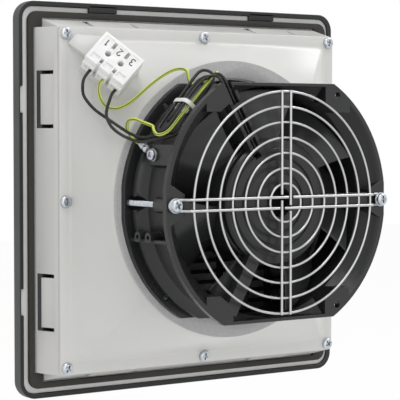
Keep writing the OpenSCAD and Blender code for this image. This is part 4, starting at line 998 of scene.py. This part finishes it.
# Cable tie round the hank: a band with its locking head behind
tie = {"wide": 2.8, "thick": 0.7, "soft": 0.25, "out": 5.3, "deep": 7.3, "corner": 3.4, "steps": 8,
       "head": ((-2.4, -4.2, -2.8), (2.4, 0.2, -0.2), 0.5), "end": ((-1.3, 0.0, -2.0), (1.3, 2.4, -1.1), 0.3)}


def onTie(along, outward, deep):
    return place(*onHank(along, outward, deep))


def makeTie():
    t = tie
    section = [(sx * (t["out"] - t["corner"]), sy * (t["deep"] - t["corner"]), angle)
               for sx, sy, angle in cornerTurns(t["steps"])]
    rings = []
    half = t["wide"] / 2
    thick = t["thick"]
    soft = t["soft"]
    for along, lift in ((-half, 0.0), (-half, thick - soft), (-half + soft, thick), (half - soft, thick),
                        (half, thick - soft), (half, 0.0)):
        radius = t["corner"] + lift
        rings.append([onTie(along, x + radius * math.cos(a), y + radius * math.sin(a)) for x, y, a in section])
    parts = [meshOf("band", *loft(rings, looped=True))]
    back = Vector((0, 0, -t["deep"]))
    for name in ("head", "end"):
        low, high, bevel = t[name]
        parts.append(boxMesh(name, Vector(low) + back, Vector(high) + back, bevel, onTie))
    addPiece("cableTie", joined("cableTie", parts), "tie_white", "housing", ["cable_tie"], 40)


# Snap tongues: their end slots opened towards the panel, and the dark tray's bars that show in them
tongues = {"middle": 65.0, "half": 18.4, "slot": (112.0, 118.0, 0.05, 2.2), "bar": (108.6, 0.15, 4.6), "under": 0.25,
           "draft": (117.0, -3.0, 6 / 21.8)}


def boxHalf(deep):  # half the box's width, which narrows into the cabinet
    half, start, draft = tongues["draft"]
    return half - (deep - start) * draft


def tongueBoxes(near, far, low, high):  # one at each tongue, between two depths, its outer face as far out as given
    corners = [(near, low), (far(low), low), (far(high), high), (near, high)]
    half = tongues["half"]
    boxes = []
    for side in (-1, 1):
        for middle in (-tongues["middle"], tongues["middle"]):
            ends = [middle - half, middle + half]
            upright = [[place(side * r, y, w) for r, w in corners] for y in ends]
            level = [[place(x, side * r, w) for r, w in corners] for x in ends]
            boxes += [meshOf("tongue", *loft(rings, capped=True)) for rings in (upright, level)]
    return joined("tongues", boxes)


def makeFrame():
    near, far, low, high = tongues["slot"]
    dressNode("mounting_frame", "mountingFrame", 0.0004, tongueBoxes(near, lambda deep: far, low, high))
    near, low, high = tongues["bar"]
    bars = tongueBoxes(near, lambda deep: boxHalf(deep) - tongues["under"], low, high)
    addPiece("trayBars", bars, "cover_plastic", bodyOf["filter_grid"])


# Nodes that keep the shape of their solids, with the rounding of their edges
dressed = [("panel_gasket", "panelGasket", 0.0004), ("fan_seal", "fanSeal", 0.0003),
           ("fan_housing", "fanHousing", 0.0005), ("filter_grid", "filterGrid", 0.0003),
           ("filter_mat", "filterMat", 0.0012), ("rotor_cup", "rotorCup", 0.0006),
           ("guard_washers", "guardWashers", 0.00012), ("earth_washer", "earthWasher", 0.00012),
           ("ring_terminal", "ringTerminal", 0.00015)]

makeHood()
makeTerminal()
makeCover()
print("hood, terminal block and cover made")
makeScrews()
makeGuard()
makeImpeller()
makePlug()
makeCrimp()
makeTie()
print("screws, guard, impeller and tie made")
makeFrame()
for node, name, bevel in dressed:
    dressNode(node, name, bevel)
print("CAD pieces dressed")


# Soft studio light and a white surround
studio = {"floor": -0.26, "reach": 3, "floorTone": 0.95, "floorWhite": 0.93, "sky": 0.66, "lamps": [
    ("key", (-0.45, -0.75, 1.75), 0.6, 7.0), ("front", (-0.15, -1.9, 0.3), 1.4, 6.0),
    ("right", (1.15, -0.3, 1.4), 0.5, 7.5)]}


def seenWhite(start):  # one where the camera, a mirror or clear plastic sees a surface
    camera, glossy, clear = [start.make("ShaderNodeLightPath", out="Is %s Ray" % kind)
                             for kind in ("Camera", "Glossy", "Transmission")]
    return start.sum("MAXIMUM", start.sum("MAXIMUM", camera, glossy), clear)


def makeStudio():
    world = bpy.data.worlds.new("surround")
    scene.world = world
    world.use_nodes = True
    tree = world.node_tree
    tree.nodes.clear()
    start = Wire(tree, None)
    strength = seenWhite(start) * (1 - studio["sky"]) + studio["sky"]
    sky = start.make("ShaderNodeBackground", {}, {"Color": (1, 1, 1, 1), "Strength": strength})
    start.make("ShaderNodeOutputWorld", {}, {"Surface": sky})
    for name, spot, size, power in studio["lamps"]:
        lamp = bpy.data.lights.new(name, "AREA")
        lamp.size = size
        lamp.energy = power
        holder = bpy.data.objects.new(name, lamp)
        holder.location = spot
        holder.rotation_euler = (-Vector(spot)).to_track_quat("-Z", "Y").to_euler()
        scene.collection.objects.link(holder)
    reach = studio["reach"]
    corners = [(x * reach, y * reach, studio["floor"]) for x, y in ((-1, -1), (1, -1), (1, 1), (-1, 1))]
    floorMesh = meshOf("floor", corners, [(0, 1, 2, 3)])
    material, at = startFinish("paleFloor")
    matt = at.make("ShaderNodeBsdfDiffuse", {}, {"Color": grey(studio["floorTone"])})
    glow = at.make("ShaderNodeEmission", {}, {"Color": (1, 1, 1, 1), "Strength": 1.0})
    mixed = at.make("ShaderNodeMixShader", {}, {0: seenWhite(at) * studio["floorWhite"], 1: matt, 2: glow})
    at.make("ShaderNodeOutputMaterial", {}, {"Surface": mixed})
    floorMesh.materials.append(material)
    floor = bpy.data.objects.new("floor", floorMesh)
    scene.collection.objects.link(floor)
    scene.view_settings.view_transform = "Standard"


makeStudio()
print("studio lit")
